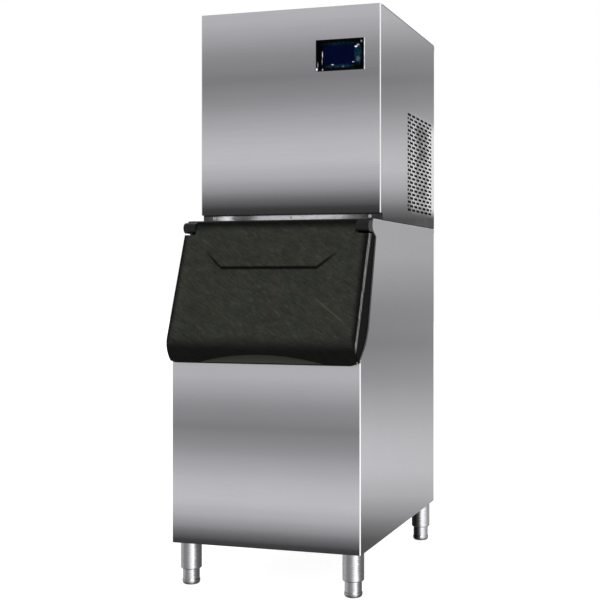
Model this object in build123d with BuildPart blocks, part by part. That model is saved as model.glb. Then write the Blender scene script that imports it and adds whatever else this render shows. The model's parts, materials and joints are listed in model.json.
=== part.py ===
"""Ice cube machine: an ice maker head standing on a slope-fronted storage bin with four legs.

The frame is +Z up, the front looks towards -Y, and the origin is on the floor under the
middle of the machine. Sizes are in millimetres.
"""

import os
from math import asin, atan2, cos, degrees, hypot, radians, sin

from build123d import *

os.makedirs("parts", exist_ok=True)

# Overall sizes
width = 560.0
body_depth = 830.0
bin_height = 915.0
head_height = 618.0
leg_height = 125.0
head_setback = 192.0
rear_step = 4.0
door_reach = 43.0
fitting_reach = 24.0

# Sheet metal and gaps
sheet = 1.2
heavy_sheet = 1.5
bend = 4.0
seam = 0.3
flange = 16.0
running_gap = 0.3
fit_gap = 0.1
press_gap = 0.05

# Slanted doorway of the bin, seen from the side
sill_height = 526.0
knee_back = 70.0
knee_rise = 54.0
knee_radius = 150.0
lobe_radius = 19.0
lobe_front = 62.0
slope_top_front = 43.0
slope_top_drop = 51.0

# Door frame and hinge
frame_lip = 12.0
frame_tongue = 15.0
frame_side = 44.0
frame_hook = 8.0
hinge_front = 104.0
hinge_drop = 23.0
knuckle_radius = 15.0
knuckle_length = 37.0
pin_radius = 4.0
pin_grip = 30.0
boss_radius = 6.5
boss_length = 30.0
trough_radius = 20.5
ledge_back = 40.0
ledge_wall = 8.0
knuckle_gap = 1.5

# Door
door_gap = 2.0
door_side_gap = 1.0
door_wall = 3.5
door_liner_wall = 3.0
door_overhang = 15.0
door_top_drop = 6.0
door_top_depth = 8.0
door_foot = 6.0
blank_back = 40.0
swell_radius = 55.0
swell_rise = 39.0
door_edge_round = 9.0
door_corner_round = 24.0
pad_height = 6.0
pad_low_width = 286.0
pad_high_width = 406.0
pad_low_drop = 141.0
pad_high_drop = 88.0
grip_half_width = 195.0
grip_rise = 27.0
notch_drop = 5.0

# Bin lining and insulation
side_insulation = 42.0
floor_insulation = 46.0
liner_wall = 3.5
drain_radius = 16.0
drain_bore = 10.5
socket_radius = 13.4
socket_depth = 19.0
drain_drop = 20.0
drain_bend = 24.0
drain_inset = 60.0
drain_flange = 10.0
drain_flange_sheet = 2.0
strainer_overlap = 4.0
strainer_height = 14.0
strainer_wall = 2.0
strainer_slot = 3.0
strainer_slot_height = 7.0

# Legs
leg_radius = 30.0
leg_inset = 36.5
leg_front_inset = 50.0
leg_rear_inset = 39.0
foot_height = 45.0
foot_radius = 24.0
foot_stem_radius = 20.0
foot_stem_length = 60.0
foot_lip = 1.5
stud_radius = 6.0
stud_height = 12.0
doubler = 63.0
doubler_room = 70.0
doubler_sheet = 4.0
leg_chamfer = 2.5
toe_radius = 9.0

# Head panels
strip_height = 20.0
strip_recess = 16.0
panel_return = 18.0
edge_round = 3.0
cover_round = 0.9
screw_spread = 243.0
screw_radius = 2.0
screw_length = 8.0
screw_head_radius = 4.6
screw_head_height = 3.0
screw_head_round = 1.6

# Display
display_width = 149.0
display_height = 91.0
display_side = 47.0
display_drop = 96.0
bezel_rim = 4.0
bezel_proud = 1.6
bezel_depth = 14.0
bezel_floor = 2.0
bezel_round = 0.8
clip_gap = 0.2
screen_sheet = 2.0
screen_set_back = 0.8

# Side grille
slot_length = 40.0
slot_height = 7.4
slot_pitch = 52.0
row_pitch = 12.3
grille_rows = 25
slots_in_row = 6
grille_rear = 41.0
grille_rise = 46.0
grille_margin = 3.0

# Vent in the back of the head
vent_x = -40.0
vent_rise = 330.0
vent_slot = 70.0
vent_slot_pitch = 84.0
vent_row_pitch = 16.0
vent_columns = 3
vent_rows = 14

# Head inside
partition_back = 285.0
post = 22.0
post_relief = 1.2
control_width = 180.0
control_height = 250.0
control_depth = 86.0
standoff_height = 8.0
standoff_radius = 4.0
board_sheet = 1.6
relay_size = (20.0, 26.0)
relay_pitch = 26.0
relay_height = 18.0
transformer_size = (90.0, 50.0)

# Ice making zone
evaporator_left = 235.0
cells_across = 12
cells_up = 14
cell = 22.0
cell_wall = 3.0
grid_depth = 22.0
cold_plate = 2.0
cell_draft = 2.0
evaporator_back = 165.0
evaporator_rise = 165.0
coil_radius = 5.0
coil_end_room = 24.0
coil_inset = 34.0
coil_outlet_inset = 20.0
coil_drop = 26.0
trough_height = 70.0
trough_floor = 24.0
trough_wall = 2.5
trough_round = 6.0
trough_corner = 10.0
trough_foot = (24.0, 12.0)
drop_front = 45.0
drop_margin = 8.0
curtain_sheet = 3.0
curtain_gap = 14.0
curtain_pin = 3.0
distributor_radius = 12.0
surround = 12.0
surround_proud = 5.0
ear = 6.0
ear_height = 14.0
curtain_rib = (4.0, 3.0)
curtain_ribs = 5
clip_sheet = 3.0
clip_height = 9.0
probe_width = 24.0
probe_sheet = 3.4
probe_pin = 2.0
probe_drop = 110.0
coil_passes = 6
coil_bend = 22.0
trough_front = 150.0
trough_back = 270.0
distributor_wall = 2.5
float_stem = 3.0
float_radius = 13.0
float_height = 24.0
float_collar_radius = 8.0
float_collar = 4.0
stem_bracket = (18.0, 3.5)
pump_plate = (80.0, 3.0)
pump_can_radius = 28.0
pump_can_height = 78.0
pump_column_radius = 9.0
pump_head_radius = 24.0
pump_head_height = 16.0
pump_head_rise = 8.0
hose_bend = 11.0

# Cooling zone
condenser_depth = 40.0
condenser_side_gap = 14.0
fin_pitch = 8.0
fin_groove = 3.0
fin_groove_depth = 12.0
fin_margin = 8.0
end_plate = 3.0
shroud_depth = 14.0
fan_radius = 112.0
fan_blades = 5
fan_gap = 5.0
ring_sheet = 1.5
ring_length = 16.0
strap_width = 34.0
strap_sheet = 2.0
strap_foot = 14.0
strap_hole = 8.0
motor_radius = 38.0
motor_round = 8.0
motor_length = 62.0
compressor_radius = 88.0
compressor_height = 190.0
pot_round = 26.0
weld_seam = (4.0, 5.0)
foot_plate = 3.0
foot_hole = 6.0
stub_radius = 7.0
stub_rise = 4.0
terminal_cover = (60.0, 46.0)
terminal_depth = 24.0
grommet_radius = 11.0
grommet_height = 16.0
grommet_neck = 5.8
condenser_front = 300.0
condenser_back = 595.0
condenser_low = 30.0
condenser_high = 345.0
hub_radius = 20.0
hub_length = 24.0
shaft_radius = 4.0
fan_start = 5.0
blade_sheet = 2.2
tip_chord = 78.0
drier_radius = 17.0
drier_length = 110.0
drier_cone = 14.0
pipe_bend = 15.0
suction_bend = 24.0
feed_bend = 18.0
inlet_radius = 13.0
inlet_bore = 8.0
inlet_rise = 300.0
inlet_neck = 14.0
inlet_length = 20.0
valve_body = (44.0, 40.0)
valve_depth = 34.0
valve_coil_radius = 13.0
valve_coil_height = 32.0
outlet_radius = 12.0
spigot_radius = 10.0
spigot_wall = 2.0
fitting_collar = 2.0
dump_valve = 34.0
dump_valve_depth = 54.0
dump_valve_back = 90.0
dump_coil_radius = 14.0
dump_coil_height = 58.0
feed_radius = 5.0

# Places that follow from the sizes above
half = width / 2
y_foremost = -(door_reach + body_depth + fitting_reach) / 2
y_bin_front = y_foremost + door_reach
y_head_front = y_bin_front + head_setback
y_back = y_bin_front + body_depth
y_bin_back = y_back - rear_step
y_rearmost = y_back + fitting_reach
z_base = leg_height
z_rim = z_base + bin_height
z_top = z_rim + head_height
z_sill = z_base + sill_height
z_strip = z_rim + strip_height
z_screws = z_rim + strip_height / 2 + 1
slope_foot = (y_bin_front, z_sill)
slope_knee = (y_bin_front + knee_back, z_sill + knee_rise)
slope_top = (y_head_front - slope_top_front, z_rim - slope_top_drop)
lobe = (y_head_front - lobe_front, z_rim - lobe_radius)
hinge = (y_head_front - hinge_front, z_rim - hinge_drop)
door_half = half - door_side_gap
y_partition = y_head_front + partition_back
y_ledge_back = y_head_front + ledge_back
boss_end = half - knuckle_length - knuckle_gap
y_tray_back = y_back - sheet - bend + 1
evaporator_width = cells_across * (cell + cell_wall) + cell_wall
evaporator_height = cells_up * (cell + cell_wall) + cell_wall
x_evaporator = -evaporator_left + evaporator_width / 2
z_evaporator = z_rim + evaporator_rise + evaporator_height / 2
x_display = half - display_side - display_width / 2
z_display = z_top - display_drop - display_height / 2
screen_width = display_width - 2 * (bezel_rim + 2)
screen_height = display_height - 2 * (bezel_rim + 2)
drop_back = trough_front - 2
trough_left = x_evaporator - evaporator_width / 2 - 8
trough_right = x_evaporator + evaporator_width / 2 + 84
x_outlet = x_evaporator + evaporator_width / 2 - 6
z_outlet = z_rim + trough_floor + 17
x_inlet = -half + 60
z_inlet = z_rim + inlet_rise
curtain_hinge = (
    y_head_front + evaporator_back - surround_proud - curtain_gap + 2,
    z_evaporator + evaporator_height / 2 + 2,
)
probe_hinge = (
    y_head_front + evaporator_back - surround_proud - 5,
    z_evaporator + evaporator_height / 2 + surround - 5,
)
x_probe = x_evaporator + 20
x_coil_right = x_evaporator + evaporator_width / 2 - coil_outlet_inset
z_coil_low = z_evaporator - evaporator_height / 2 + coil_drop
z_coil_high = z_evaporator + evaporator_height / 2 - coil_drop
y_coil_end = y_partition + coil_end_room
y_distributor = y_head_front + evaporator_back + 4
z_distributor = z_evaporator + evaporator_height / 2 + surround + distributor_radius
z_trough_rim = z_rim + trough_floor + trough_height
x_pump = trough_right - 42
y_pump = y_head_front + trough_front + 52
x_hose = trough_right - 60
y_hose = y_head_front + trough_back - 22
x_float = trough_left + 40
y_float = y_head_front + trough_back - 34
x_condenser = half - sheet - condenser_side_gap - condenser_depth
y_fan = y_head_front + (condenser_front + condenser_back) / 2
z_fan = z_rim + (condenser_low + condenser_high) / 2
x_strap = x_condenser - shroud_depth - 40
blade_stations = (
    (hub_radius - 3, 52.0, 36.0),
    (fan_radius * 0.6, 66.0, 28.0),
    ((fan_radius**2 - (tip_chord / 2) ** 2) ** 0.5, tip_chord, 20.0),
)
y_header = y_head_front + condenser_back + 20
z_stub = z_rim + heavy_sheet + grommet_height + compressor_height + stub_rise
x_compressor = -half + 130
y_compressor = y_partition + 165
grommet_spread = (2 * compressor_radius - 10, 2 * compressor_radius - 22)
x_suction = x_compressor + 34
y_suction = y_compressor - 40
x_discharge = x_compressor + 34
y_discharge = y_compressor + 40


def keep(builder, name):
    """Label a finished piece and write it."""
    builder.part.label = name
    export_step(builder.part, f"parts/{name}.step")


def touch(point, centre, radius, turn):
    """Point where a line from the given point touches a circle, on the side that turn picks."""
    across, up = centre[0] - point[0], centre[1] - point[1]
    distance = hypot(across, up)
    angle = atan2(up, across) + turn * asin(radius / distance)
    run = (distance**2 - radius**2) ** 0.5
    return (point[0] + run * cos(angle), point[1] + run * sin(angle))


def moved(point, shift):
    """The side-view point moved back by shift."""
    return (point[0] + shift, point[1])


def fold(points, thickness, radius, side=Side.RIGHT):
    """Section of a sheet bent along the points."""
    with BuildSketch() as section:
        with BuildLine():
            FilletPolyline(*points, radius=radius)
            offset(amount=thickness, side=side)
        make_face()
    return section.sketch


def slope_region(shift, lobed=True):
    """Side view of all that lies behind the slanted doorway edge, with that edge moved back."""
    far_front = y_foremost - width
    far_back = y_rearmost + width
    foot = moved(slope_foot, shift)
    top = moved(slope_top, shift)
    crown = moved(lobe, shift) if lobed else (top[0], z_rim)
    with BuildSketch() as region:
        with BuildLine():
            FilletPolyline(foot, moved(slope_knee, shift), top, radius=knee_radius)
            if lobed:
                meets_lobe = touch(top, crown, lobe_radius, 1)
                Line(top, meets_lobe)
                ThreePointArc(
                    meets_lobe, (crown[0] - lobe_radius, crown[1]), (crown[0], z_rim)
                )
            else:
                Line(top, crown)
            Polyline(
                (crown[0], z_rim),
                (far_back, z_rim),
                (far_back, 0),
                (far_front, 0),
                (far_front, z_sill),
                foot,
            )
        make_face()
    return region.sketch


def side_box(front, back, bottom, top):
    """Side view of a plain box."""
    with BuildSketch() as box:
        with Locations(((front + back) / 2, (bottom + top) / 2)):
            Rectangle(back - front, top - bottom)
    return box.sketch


def door_section(back_shift):
    """Side view of the door, its back boundary moved back by back_shift."""
    back = back_shift - frame_lip - door_gap
    swell = (y_foremost + swell_radius, z_sill + swell_rise)
    top_z = z_rim - door_top_drop
    bottom_z = z_sill - door_overhang
    top_front = (hinge[0] - 0.6, top_z)
    top_back = (top_front[0] + door_top_depth + back_shift, top_z)
    neck = (top_back[0], slope_top[1] + frame_lip + door_gap)
    foot_back = (y_bin_front + back, bottom_z)
    foot_front = (y_bin_front - frame_lip - door_gap - door_foot, bottom_z)
    face_end = touch(top_front, swell, swell_radius, -1)
    under_start = touch(foot_front, swell, swell_radius, 1)
    with BuildSketch() as section:
        with BuildLine():
            Polyline(foot_back, foot_front, under_start)
            ThreePointArc(under_start, (y_foremost, swell[1]), face_end)
            Polyline(face_end, top_front, top_back, neck, moved(slope_top, back))
            FilletPolyline(
                moved(slope_top, back),
                moved(slope_knee, back),
                moved(slope_foot, back),
                radius=knee_radius,
            )
            Line(moved(slope_foot, back), foot_back)
        make_face()
    return section.sketch


def face_plane():
    """Plane on the door's flat face: its origin on the top edge, its Y up the face."""
    swell = (y_foremost + swell_radius, z_sill + swell_rise)
    top_front = (hinge[0] - 0.6, z_rim - door_top_drop)
    face_end = touch(top_front, swell, swell_radius, -1)
    up = (top_front[0] - face_end[0], top_front[1] - face_end[1])
    return Plane(
        origin=(0, top_front[0], top_front[1]),
        x_dir=(1, 0, 0),
        z_dir=(0, -up[1], up[0]),
    )


def make_bin_shell():
    """Front and sides of the bin, one sheet bent round the two front corners."""
    y_sheet_back = y_bin_back - sheet
    with BuildPart() as shell:
        with BuildSketch(Plane.XY.offset(z_base)):
            add(
                fold(
                    [
                        (-half + flange, y_sheet_back),
                        (-half, y_sheet_back),
                        (-half, y_bin_front),
                        (half, y_bin_front),
                        (half, y_sheet_back),
                        (half - flange, y_sheet_back),
                    ],
                    sheet,
                    bend,
                    Side.LEFT,
                )
            )
        extrude(amount=bin_height - flange)
        for side, hand in ((-1, Side.RIGHT), (1, Side.LEFT)):
            with BuildSketch(Plane.XZ.offset(-y_sheet_back)):
                add(
                    fold(
                        [
                            (side * half, z_rim - flange),
                            (side * half, z_rim),
                            (side * (half - flange), z_rim),
                        ],
                        sheet,
                        bend,
                        hand,
                    )
                )
            extrude(amount=y_sheet_back - lobe[0] + lobe_radius)
        with BuildSketch(Plane.YZ.offset(-half)):
            add(slope_region(0))
        extrude(amount=width, mode=Mode.INTERSECT)
    keep(shell, "bin_shell")


def make_bin_rear_panel():
    """Flat back of the bin, with the hole that the drain passes."""
    drain_z = z_base + drain_drop
    with BuildPart() as panel:
        with BuildSketch(Plane.XZ.offset(-y_bin_back)):
            with Locations((0, z_base + (bin_height - seam) / 2)):
                Rectangle(width - 2 * bend, bin_height - seam)
            with Locations((0, drain_z)):
                Circle(drain_radius + seam, mode=Mode.SUBTRACT)
        extrude(amount=sheet)
    keep(panel, "bin_rear_panel")


def leg_places():
    """Middles of the four legs, front left first, then round by name."""
    front = y_bin_front + leg_front_inset
    rear = y_bin_back - leg_rear_inset
    across = half - leg_inset
    return {
        "front_left": (-across, front),
        "front_right": (across, front),
        "rear_left": (-across, rear),
        "rear_right": (across, rear),
    }


def make_bin_base():
    """Bottom plate of the bin, thickened over each leg and drilled for its stud."""
    inner = half - sheet - seam
    front = y_bin_front + sheet + seam
    back = y_bin_back - 2 * sheet - seam
    with BuildPart() as base:
        with BuildSketch(Plane.XY.offset(z_base)):
            with Locations((0, (front + back) / 2)):
                RectangleRounded(2 * inner, back - front, bend)
        extrude(amount=heavy_sheet)
        for spot in leg_places().values():
            with BuildSketch(Plane.XY.offset(z_base)):
                with Locations(spot):
                    Rectangle(doubler, doubler)
            extrude(amount=heavy_sheet + doubler_sheet)
        for spot in leg_places().values():
            with BuildSketch(Plane.XY.offset(z_base)):
                with Locations(spot):
                    Circle(stud_radius + fit_gap)
            extrude(amount=doubler, mode=Mode.SUBTRACT)
    keep(base, "bin_base")


def liner_box(inset):
    """Side view of the tub, its walls drawn in by inset and its doorway left open."""
    front = y_bin_front + side_insulation
    back = y_bin_back - 2 * sheet - side_insulation
    bottom = z_base + floor_insulation
    with BuildSketch() as box:
        add(side_box(front + inset, back - inset, bottom + inset, z_rim + inset))
        add(slope_region(frame_tongue + seam, lobed=False), mode=Mode.INTERSECT)
    return box.sketch


def make_bin_liner():
    """Moulded tub that holds the ice, open above and at the slanted doorway."""
    inner = half - side_insulation
    front = y_bin_front + side_insulation
    back = y_bin_back - 2 * sheet - side_insulation
    bottom = z_base + floor_insulation
    rim_z = z_rim - sheet - liner_wall
    rim_front = slope_top[0] + frame_tongue + seam
    rim_back = y_bin_back - 2 * sheet - bend
    with BuildPart() as liner:
        with BuildSketch(Plane.YZ.offset(-inner)):
            add(liner_box(0))
            add(side_box(front, back, bottom, z_rim - sheet), mode=Mode.INTERSECT)
        extrude(amount=2 * inner)
        with BuildSketch(Plane.YZ.offset(-inner + liner_wall)):
            add(
                side_box(
                    front + liner_wall, back - liner_wall, bottom + liner_wall, z_rim
                )
            )
        extrude(amount=2 * (inner - liner_wall), mode=Mode.SUBTRACT)
        with BuildSketch(Plane.XY.offset(rim_z)):
            with Locations((0, (rim_front + rim_back) / 2)):
                Rectangle(2 * (half - bend), rim_back - rim_front)
            with Locations((0, (rim_front + back - liner_wall) / 2)):
                Rectangle(
                    2 * (inner - liner_wall),
                    back - liner_wall - rim_front,
                    mode=Mode.SUBTRACT,
                )
        extrude(amount=liner_wall)
        with BuildSketch(Plane.XY.offset(bottom)):
            with Locations((0, back - drain_inset)):
                Circle(drain_radius + seam)
        extrude(amount=liner_wall, mode=Mode.SUBTRACT)
    keep(liner, "bin_liner")


def drain_run():
    """Centre line of the bin drain, from the tub's floor down and out at the back."""
    y_drain = y_bin_back - 2 * sheet - side_insulation - drain_inset
    top = z_base + floor_insulation + liner_wall
    low = z_base + drain_drop
    with BuildLine() as run:
        FilletPolyline(
            (0, y_drain, top), (0, y_drain, low), (0, y_rearmost, low), radius=drain_bend
        )
    return run.line


def make_bin_insulation():
    """Foam between the bin's steel and its tub."""
    outer = half - sheet - seam
    inner = half - side_insulation + seam
    front = y_bin_front + sheet + seam
    back = y_bin_back - 2 * sheet - seam
    bottom = z_base + heavy_sheet
    top = z_rim - sheet - liner_wall
    tub_front = y_bin_front + side_insulation - seam
    tub_back = y_bin_back - 2 * sheet - side_insulation + seam
    with BuildPart() as foam:
        with BuildSketch(Plane.YZ.offset(-outer)):
            add(side_box(front, back, bottom, top))
            add(slope_region(frame_tongue + seam, lobed=False), mode=Mode.INTERSECT)
        extrude(amount=2 * outer)
        upright = foam.edges().filter_by(Axis.Z).sort_by(Axis.Y)
        fillet(upright[:2] + upright[-2:], bend)
        with BuildSketch(Plane.YZ.offset(-inner)):
            add(side_box(tub_front, tub_back, z_base + floor_insulation, z_rim))
        extrude(amount=2 * inner, mode=Mode.SUBTRACT)
        for spot in leg_places().values():
            with BuildSketch(Plane.XY.offset(bottom)):
                with Locations(spot):
                    Rectangle(doubler_room, doubler_room)
            extrude(amount=doubler_sheet + stud_height, mode=Mode.SUBTRACT)
        path = drain_run()
        with BuildSketch(Plane(path @ 0, z_dir=path % 0)):
            Circle(drain_radius + seam)
        sweep(path=path, mode=Mode.SUBTRACT)
    keep(foam, "bin_insulation")


def make_bin_drain():
    """Drain elbow with a flange on the tub's floor and a pipe socket at the back."""
    path = drain_run()
    top = z_base + floor_insulation + liner_wall
    y_drain = (path @ 0).Y
    with BuildPart() as drain:
        with BuildSketch(Plane(path @ 0, z_dir=path % 0)):
            Circle(drain_radius)
            Circle(drain_bore, mode=Mode.SUBTRACT)
        sweep(path=path)
        with BuildSketch(Plane.XY.offset(top)):
            with Locations((0, y_drain)):
                Circle(drain_radius + drain_flange)
                Circle(drain_bore, mode=Mode.SUBTRACT)
        extrude(amount=drain_flange_sheet)
        with BuildSketch(Plane(path @ 1, z_dir=path % 1)):
            Circle(socket_radius)
        extrude(amount=-socket_depth, mode=Mode.SUBTRACT)
    keep(drain, "bin_drain")


def make_drain_strainer():
    """Slotted cap over the drain on the tub's floor."""
    floor_z = z_base + floor_insulation + liner_wall + drain_flange_sheet
    y_drain = y_bin_back - 2 * sheet - side_insulation - drain_inset
    cap_radius = drain_radius + strainer_overlap
    with BuildPart() as strainer:
        with BuildSketch(Plane.XY.offset(floor_z)):
            with Locations((0, y_drain)):
                Circle(cap_radius)
        extrude(amount=strainer_height)
        fillet(strainer.faces().sort_by(Axis.Z)[-1].edges(), 2 * strainer_wall)
        with BuildSketch(Plane.XY.offset(floor_z)):
            with Locations((0, y_drain)):
                Circle(cap_radius - strainer_wall)
        extrude(amount=strainer_height - 1.5 * strainer_wall, mode=Mode.SUBTRACT)
        with BuildSketch(Plane.XY.offset(floor_z)):
            with Locations((0, y_drain)):
                with PolarLocations(0, 6):
                    Rectangle(strainer_slot, 3 * cap_radius)
        extrude(amount=strainer_slot_height, mode=Mode.SUBTRACT)
    keep(strainer, "drain_strainer")


def make_door_frame():
    """Moulded frame round the doorway, with the hollowed beam and the hinge knuckles."""
    inner = half - frame_side
    tub_inner = half - side_insulation - liner_wall - seam
    beam_top = z_rim - sheet
    beam_back = slope_top[0] + frame_tongue
    sill_top = z_sill + 10
    lintel_z = slope_top[1] + 8
    lip = side_box(y_bin_front - frame_lip, y_back, z_sill, beam_top)
    hook = side_box(
        y_bin_front - frame_lip, y_bin_front - seam, z_sill - frame_hook, z_sill
    )
    with BuildPart() as frame:
        with BuildSketch(Plane.YZ.offset(-half)):
            add(slope_region(-frame_lip))
            add(slope_region(-seam), mode=Mode.SUBTRACT)
            add(lip, mode=Mode.INTERSECT)
            add(hook)
        extrude(amount=width)
        with BuildSketch(Plane.YZ.offset(-half + bend)):
            add(slope_region(-seam))
            add(slope_region(frame_tongue, lobed=False), mode=Mode.SUBTRACT)
            add(
                side_box(y_bin_front - frame_lip, y_back, z_sill + seam, beam_top),
                mode=Mode.INTERSECT,
            )
            add(
                side_box(y_bin_front - seam, y_bin_front + 2 * sheet, 0, z_sill + 2 * sheet),
                mode=Mode.SUBTRACT,
            )
        extrude(amount=width - 2 * bend)
        with BuildSketch(Plane.YZ.offset(-inner)):
            add(side_box(y_bin_front - width, y_back, sill_top, lintel_z))
        extrude(amount=2 * inner, mode=Mode.SUBTRACT)
        with BuildSketch(Plane.YZ.offset(-half)):
            with BuildLine():
                bottom_z = hinge[1] - knuckle_radius
                top_z = hinge[1] + knuckle_radius
                Line((hinge[0], bottom_z), (lobe[0], bottom_z))
                Line((lobe[0], bottom_z), (lobe[0], beam_top))
                Line((lobe[0], beam_top), (hinge[0], top_z))
                ThreePointArc(
                    (hinge[0], top_z),
                    (hinge[0] - knuckle_radius, hinge[1]),
                    (hinge[0], bottom_z),
                )
            make_face()
            add(slope_region(-seam), mode=Mode.SUBTRACT)
        extrude(amount=knuckle_length)
        mirror(about=Plane.YZ)
        with BuildSketch(Plane.YZ.offset(-half + knuckle_length)):
            with Locations(hinge):
                Circle(trough_radius)
        extrude(amount=2 * (half - knuckle_length), mode=Mode.SUBTRACT)
        with BuildSketch(Plane.YZ.offset(-tub_inner)):
            add(side_box(beam_back - 1, y_ledge_back, beam_top - ledge_wall, beam_top))
        extrude(amount=2 * tub_inner)
        for side in (-1, 1):
            with BuildSketch(Plane.YZ.offset(side * (half - knuckle_length))):
                with Locations(hinge):
                    Circle(pin_radius + running_gap)
            extrude(amount=side * pin_grip, mode=Mode.SUBTRACT)
    keep(frame, "door_frame")


def door_blank(inset, back_shift):
    """Solid of the door's outer form drawn in by inset, before notches and grips."""
    with BuildPart() as blank:
        with BuildSketch(Plane.YZ.offset(-door_half + inset)):
            add(door_section(back_shift))
            if inset:
                offset(amount=-inset, kind=Kind.INTERSECTION)
        extrude(amount=2 * (door_half - inset))
    return blank.part


def grip_prism(margin):
    """Arched prism under the swell that leaves room for the fingers, grown by margin."""
    bottom = z_sill - door_overhang
    wall_y = y_bin_front - frame_lip - door_gap - door_foot - 2
    with BuildPart() as prism:
        with BuildSketch(Plane.XZ.offset(-(wall_y + margin))):
            with BuildLine():
                ThreePointArc(
                    (-grip_half_width - margin, bottom),
                    (0, bottom + grip_rise + margin),
                    (grip_half_width + margin, bottom),
                )
                Polyline(
                    (grip_half_width + margin, bottom),
                    (grip_half_width + margin, bottom - width),
                    (-grip_half_width - margin, bottom - width),
                    (-grip_half_width - margin, bottom),
                )
            make_face()
        extrude(amount=width)
    return prism.part


def hinge_notches(margin):
    """Room for both knuckles at the door's top corners, grown by margin."""
    inner = half - knuckle_length - knuckle_gap - margin
    low = hinge[1] - knuckle_radius - notch_drop - margin
    with BuildPart() as notches:
        with BuildSketch(Plane.XZ.offset(-y_back)):
            for side in (-1, 1):
                with Locations((side * (inner + width / 2), low + width / 2)):
                    Rectangle(width, width)
        extrude(amount=width * 2)
    return notches.part


def make_door_shell():
    """Outer skin of the door: slanted face, swell, finger arch, raised pad and hinge bosses."""
    pad = raised_pad()
    grip = grip_prism(0)
    notches = hinge_notches(0)
    cavity = (
        door_blank(door_wall, blank_back)
        - grip_prism(door_wall)
        - hinge_notches(door_wall)
    )
    corner_z = z_sill - door_overhang
    with BuildPart() as shell:
        with BuildSketch(Plane.YZ.offset(-door_half)):
            add(door_section(blank_back))
        extrude(amount=2 * door_half)
        front = shell.faces().filter_by(lambda f: f.normal_at(f.center()).Y < -0.3)
        fillet(
            front.edges().filter_by(lambda e: abs(abs(e.center().X) - door_half) < 0.01),
            door_edge_round,
        )
        with BuildSketch(Plane.XZ.offset(-y_back)):
            with Locations((0, corner_z + width)):
                RectangleRounded(2 * door_half, 2 * width, door_corner_round)
        extrude(amount=2 * width, mode=Mode.INTERSECT)
        with BuildSketch(Plane.YZ.offset(-door_half)):
            add(door_section(0))
        extrude(amount=2 * door_half, mode=Mode.INTERSECT)
        add(pad)
        add(grip, mode=Mode.SUBTRACT)
        add(notches, mode=Mode.SUBTRACT)
        add(cavity, mode=Mode.SUBTRACT)
        for side in (-1, 1):
            with BuildSketch(Plane.YZ.offset(side * boss_end)):
                with Locations(hinge):
                    Circle(boss_radius)
            extrude(amount=-side * (boss_length + door_wall))
            with BuildSketch(Plane.YZ.offset(side * boss_end)):
                with Locations(hinge):
                    Circle(pin_radius + press_gap)
            extrude(amount=-side * boss_length, mode=Mode.SUBTRACT)
    keep(shell, "door_shell")


def raised_pad():
    """Wedge on the door's face, proud at its lower edge and flush at its upper one."""
    plane = face_plane()
    with BuildPart() as pad:
        with BuildSketch(Plane(plane.origin, x_dir=plane.y_dir, z_dir=plane.x_dir)):
            Polygon(
                (-pad_low_drop, 0), (-pad_high_drop, 0), (-pad_low_drop, pad_height), align=None
            )
        extrude(amount=pad_high_width / 2, both=True)
        with BuildSketch(plane):
            Polygon(
                (-pad_low_width / 2, -pad_low_drop),
                (pad_low_width / 2, -pad_low_drop),
                (pad_high_width / 2, -pad_high_drop),
                (-pad_high_width / 2, -pad_high_drop),
                align=None,
            )
        extrude(amount=2 * pad_height, both=True, mode=Mode.INTERSECT)
    return pad.part


def make_door_liner():
    """Inner skin of the door, which closes its back."""
    slack = door_wall + 0.2
    with BuildPart() as liner:
        with BuildSketch(Plane.YZ.offset(-door_half + slack)):
            add(door_section(blank_back))
            offset(amount=-slack, kind=Kind.INTERSECTION)
            add(door_section(0), mode=Mode.INTERSECT)
            add(door_section(-door_liner_wall), mode=Mode.SUBTRACT)
        extrude(amount=2 * (door_half - slack))
        add(grip_prism(slack), mode=Mode.SUBTRACT)
        add(hinge_notches(slack), mode=Mode.SUBTRACT)
        for side in (-1, 1):
            with BuildSketch(Plane.YZ.offset(side * boss_end)):
                with Locations(hinge):
                    Circle(boss_radius + 0.2)
            extrude(
                amount=-side * (boss_length + door_wall + 0.2), mode=Mode.SUBTRACT
            )
    keep(liner, "door_liner")


def make_door_insulation():
    """Foam between the door's two skins."""
    slack = door_wall + 0.3
    with BuildPart() as foam:
        with BuildSketch(Plane.YZ.offset(-door_half + slack)):
            add(door_section(blank_back))
            offset(amount=-slack, kind=Kind.INTERSECTION)
            add(door_section(-door_liner_wall - 0.1), mode=Mode.INTERSECT)
            add(
                side_box(y_foremost, y_back, z_base, hinge[1] - trough_radius),
                mode=Mode.INTERSECT,
            )
        extrude(amount=2 * (door_half - slack))
        add(grip_prism(slack), mode=Mode.SUBTRACT)
        add(hinge_notches(slack), mode=Mode.SUBTRACT)
    keep(foam, "door_insulation")


def make_door_gasket():
    """Flat seal on the door's back, facing the frame."""
    outer = half - 14
    strip = 12.0
    low = z_sill + 18
    high = slope_top[1] - 6
    door_back = -frame_lip - door_gap
    with BuildPart() as gasket:
        with BuildSketch(Plane.YZ.offset(-outer)):
            add(slope_region(door_back + 0.1))
            add(slope_region(-frame_lip - running_gap), mode=Mode.SUBTRACT)
            add(side_box(y_bin_front - width, y_back, low, high), mode=Mode.INTERSECT)
        extrude(amount=2 * outer)
        with BuildSketch(Plane.YZ.offset(-outer + strip)):
            add(
                side_box(y_bin_front - width, y_back, low + strip * 0.7, high - strip)
            )
        extrude(amount=2 * (outer - strip), mode=Mode.SUBTRACT)
    keep(gasket, "door_gasket")


def make_hinge_pin(side, name):
    """Steel pin fixed in the door's boss and turning in the frame's knuckle."""
    with BuildPart() as pin:
        with BuildSketch(Plane.YZ.offset(side * (boss_end - boss_length))):
            with Locations(hinge):
                Circle(pin_radius)
        extrude(amount=side * (boss_length + knuckle_gap + pin_grip - 1))
        chamfer(pin.edges(), 0.6)
    keep(pin, name)


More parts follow.
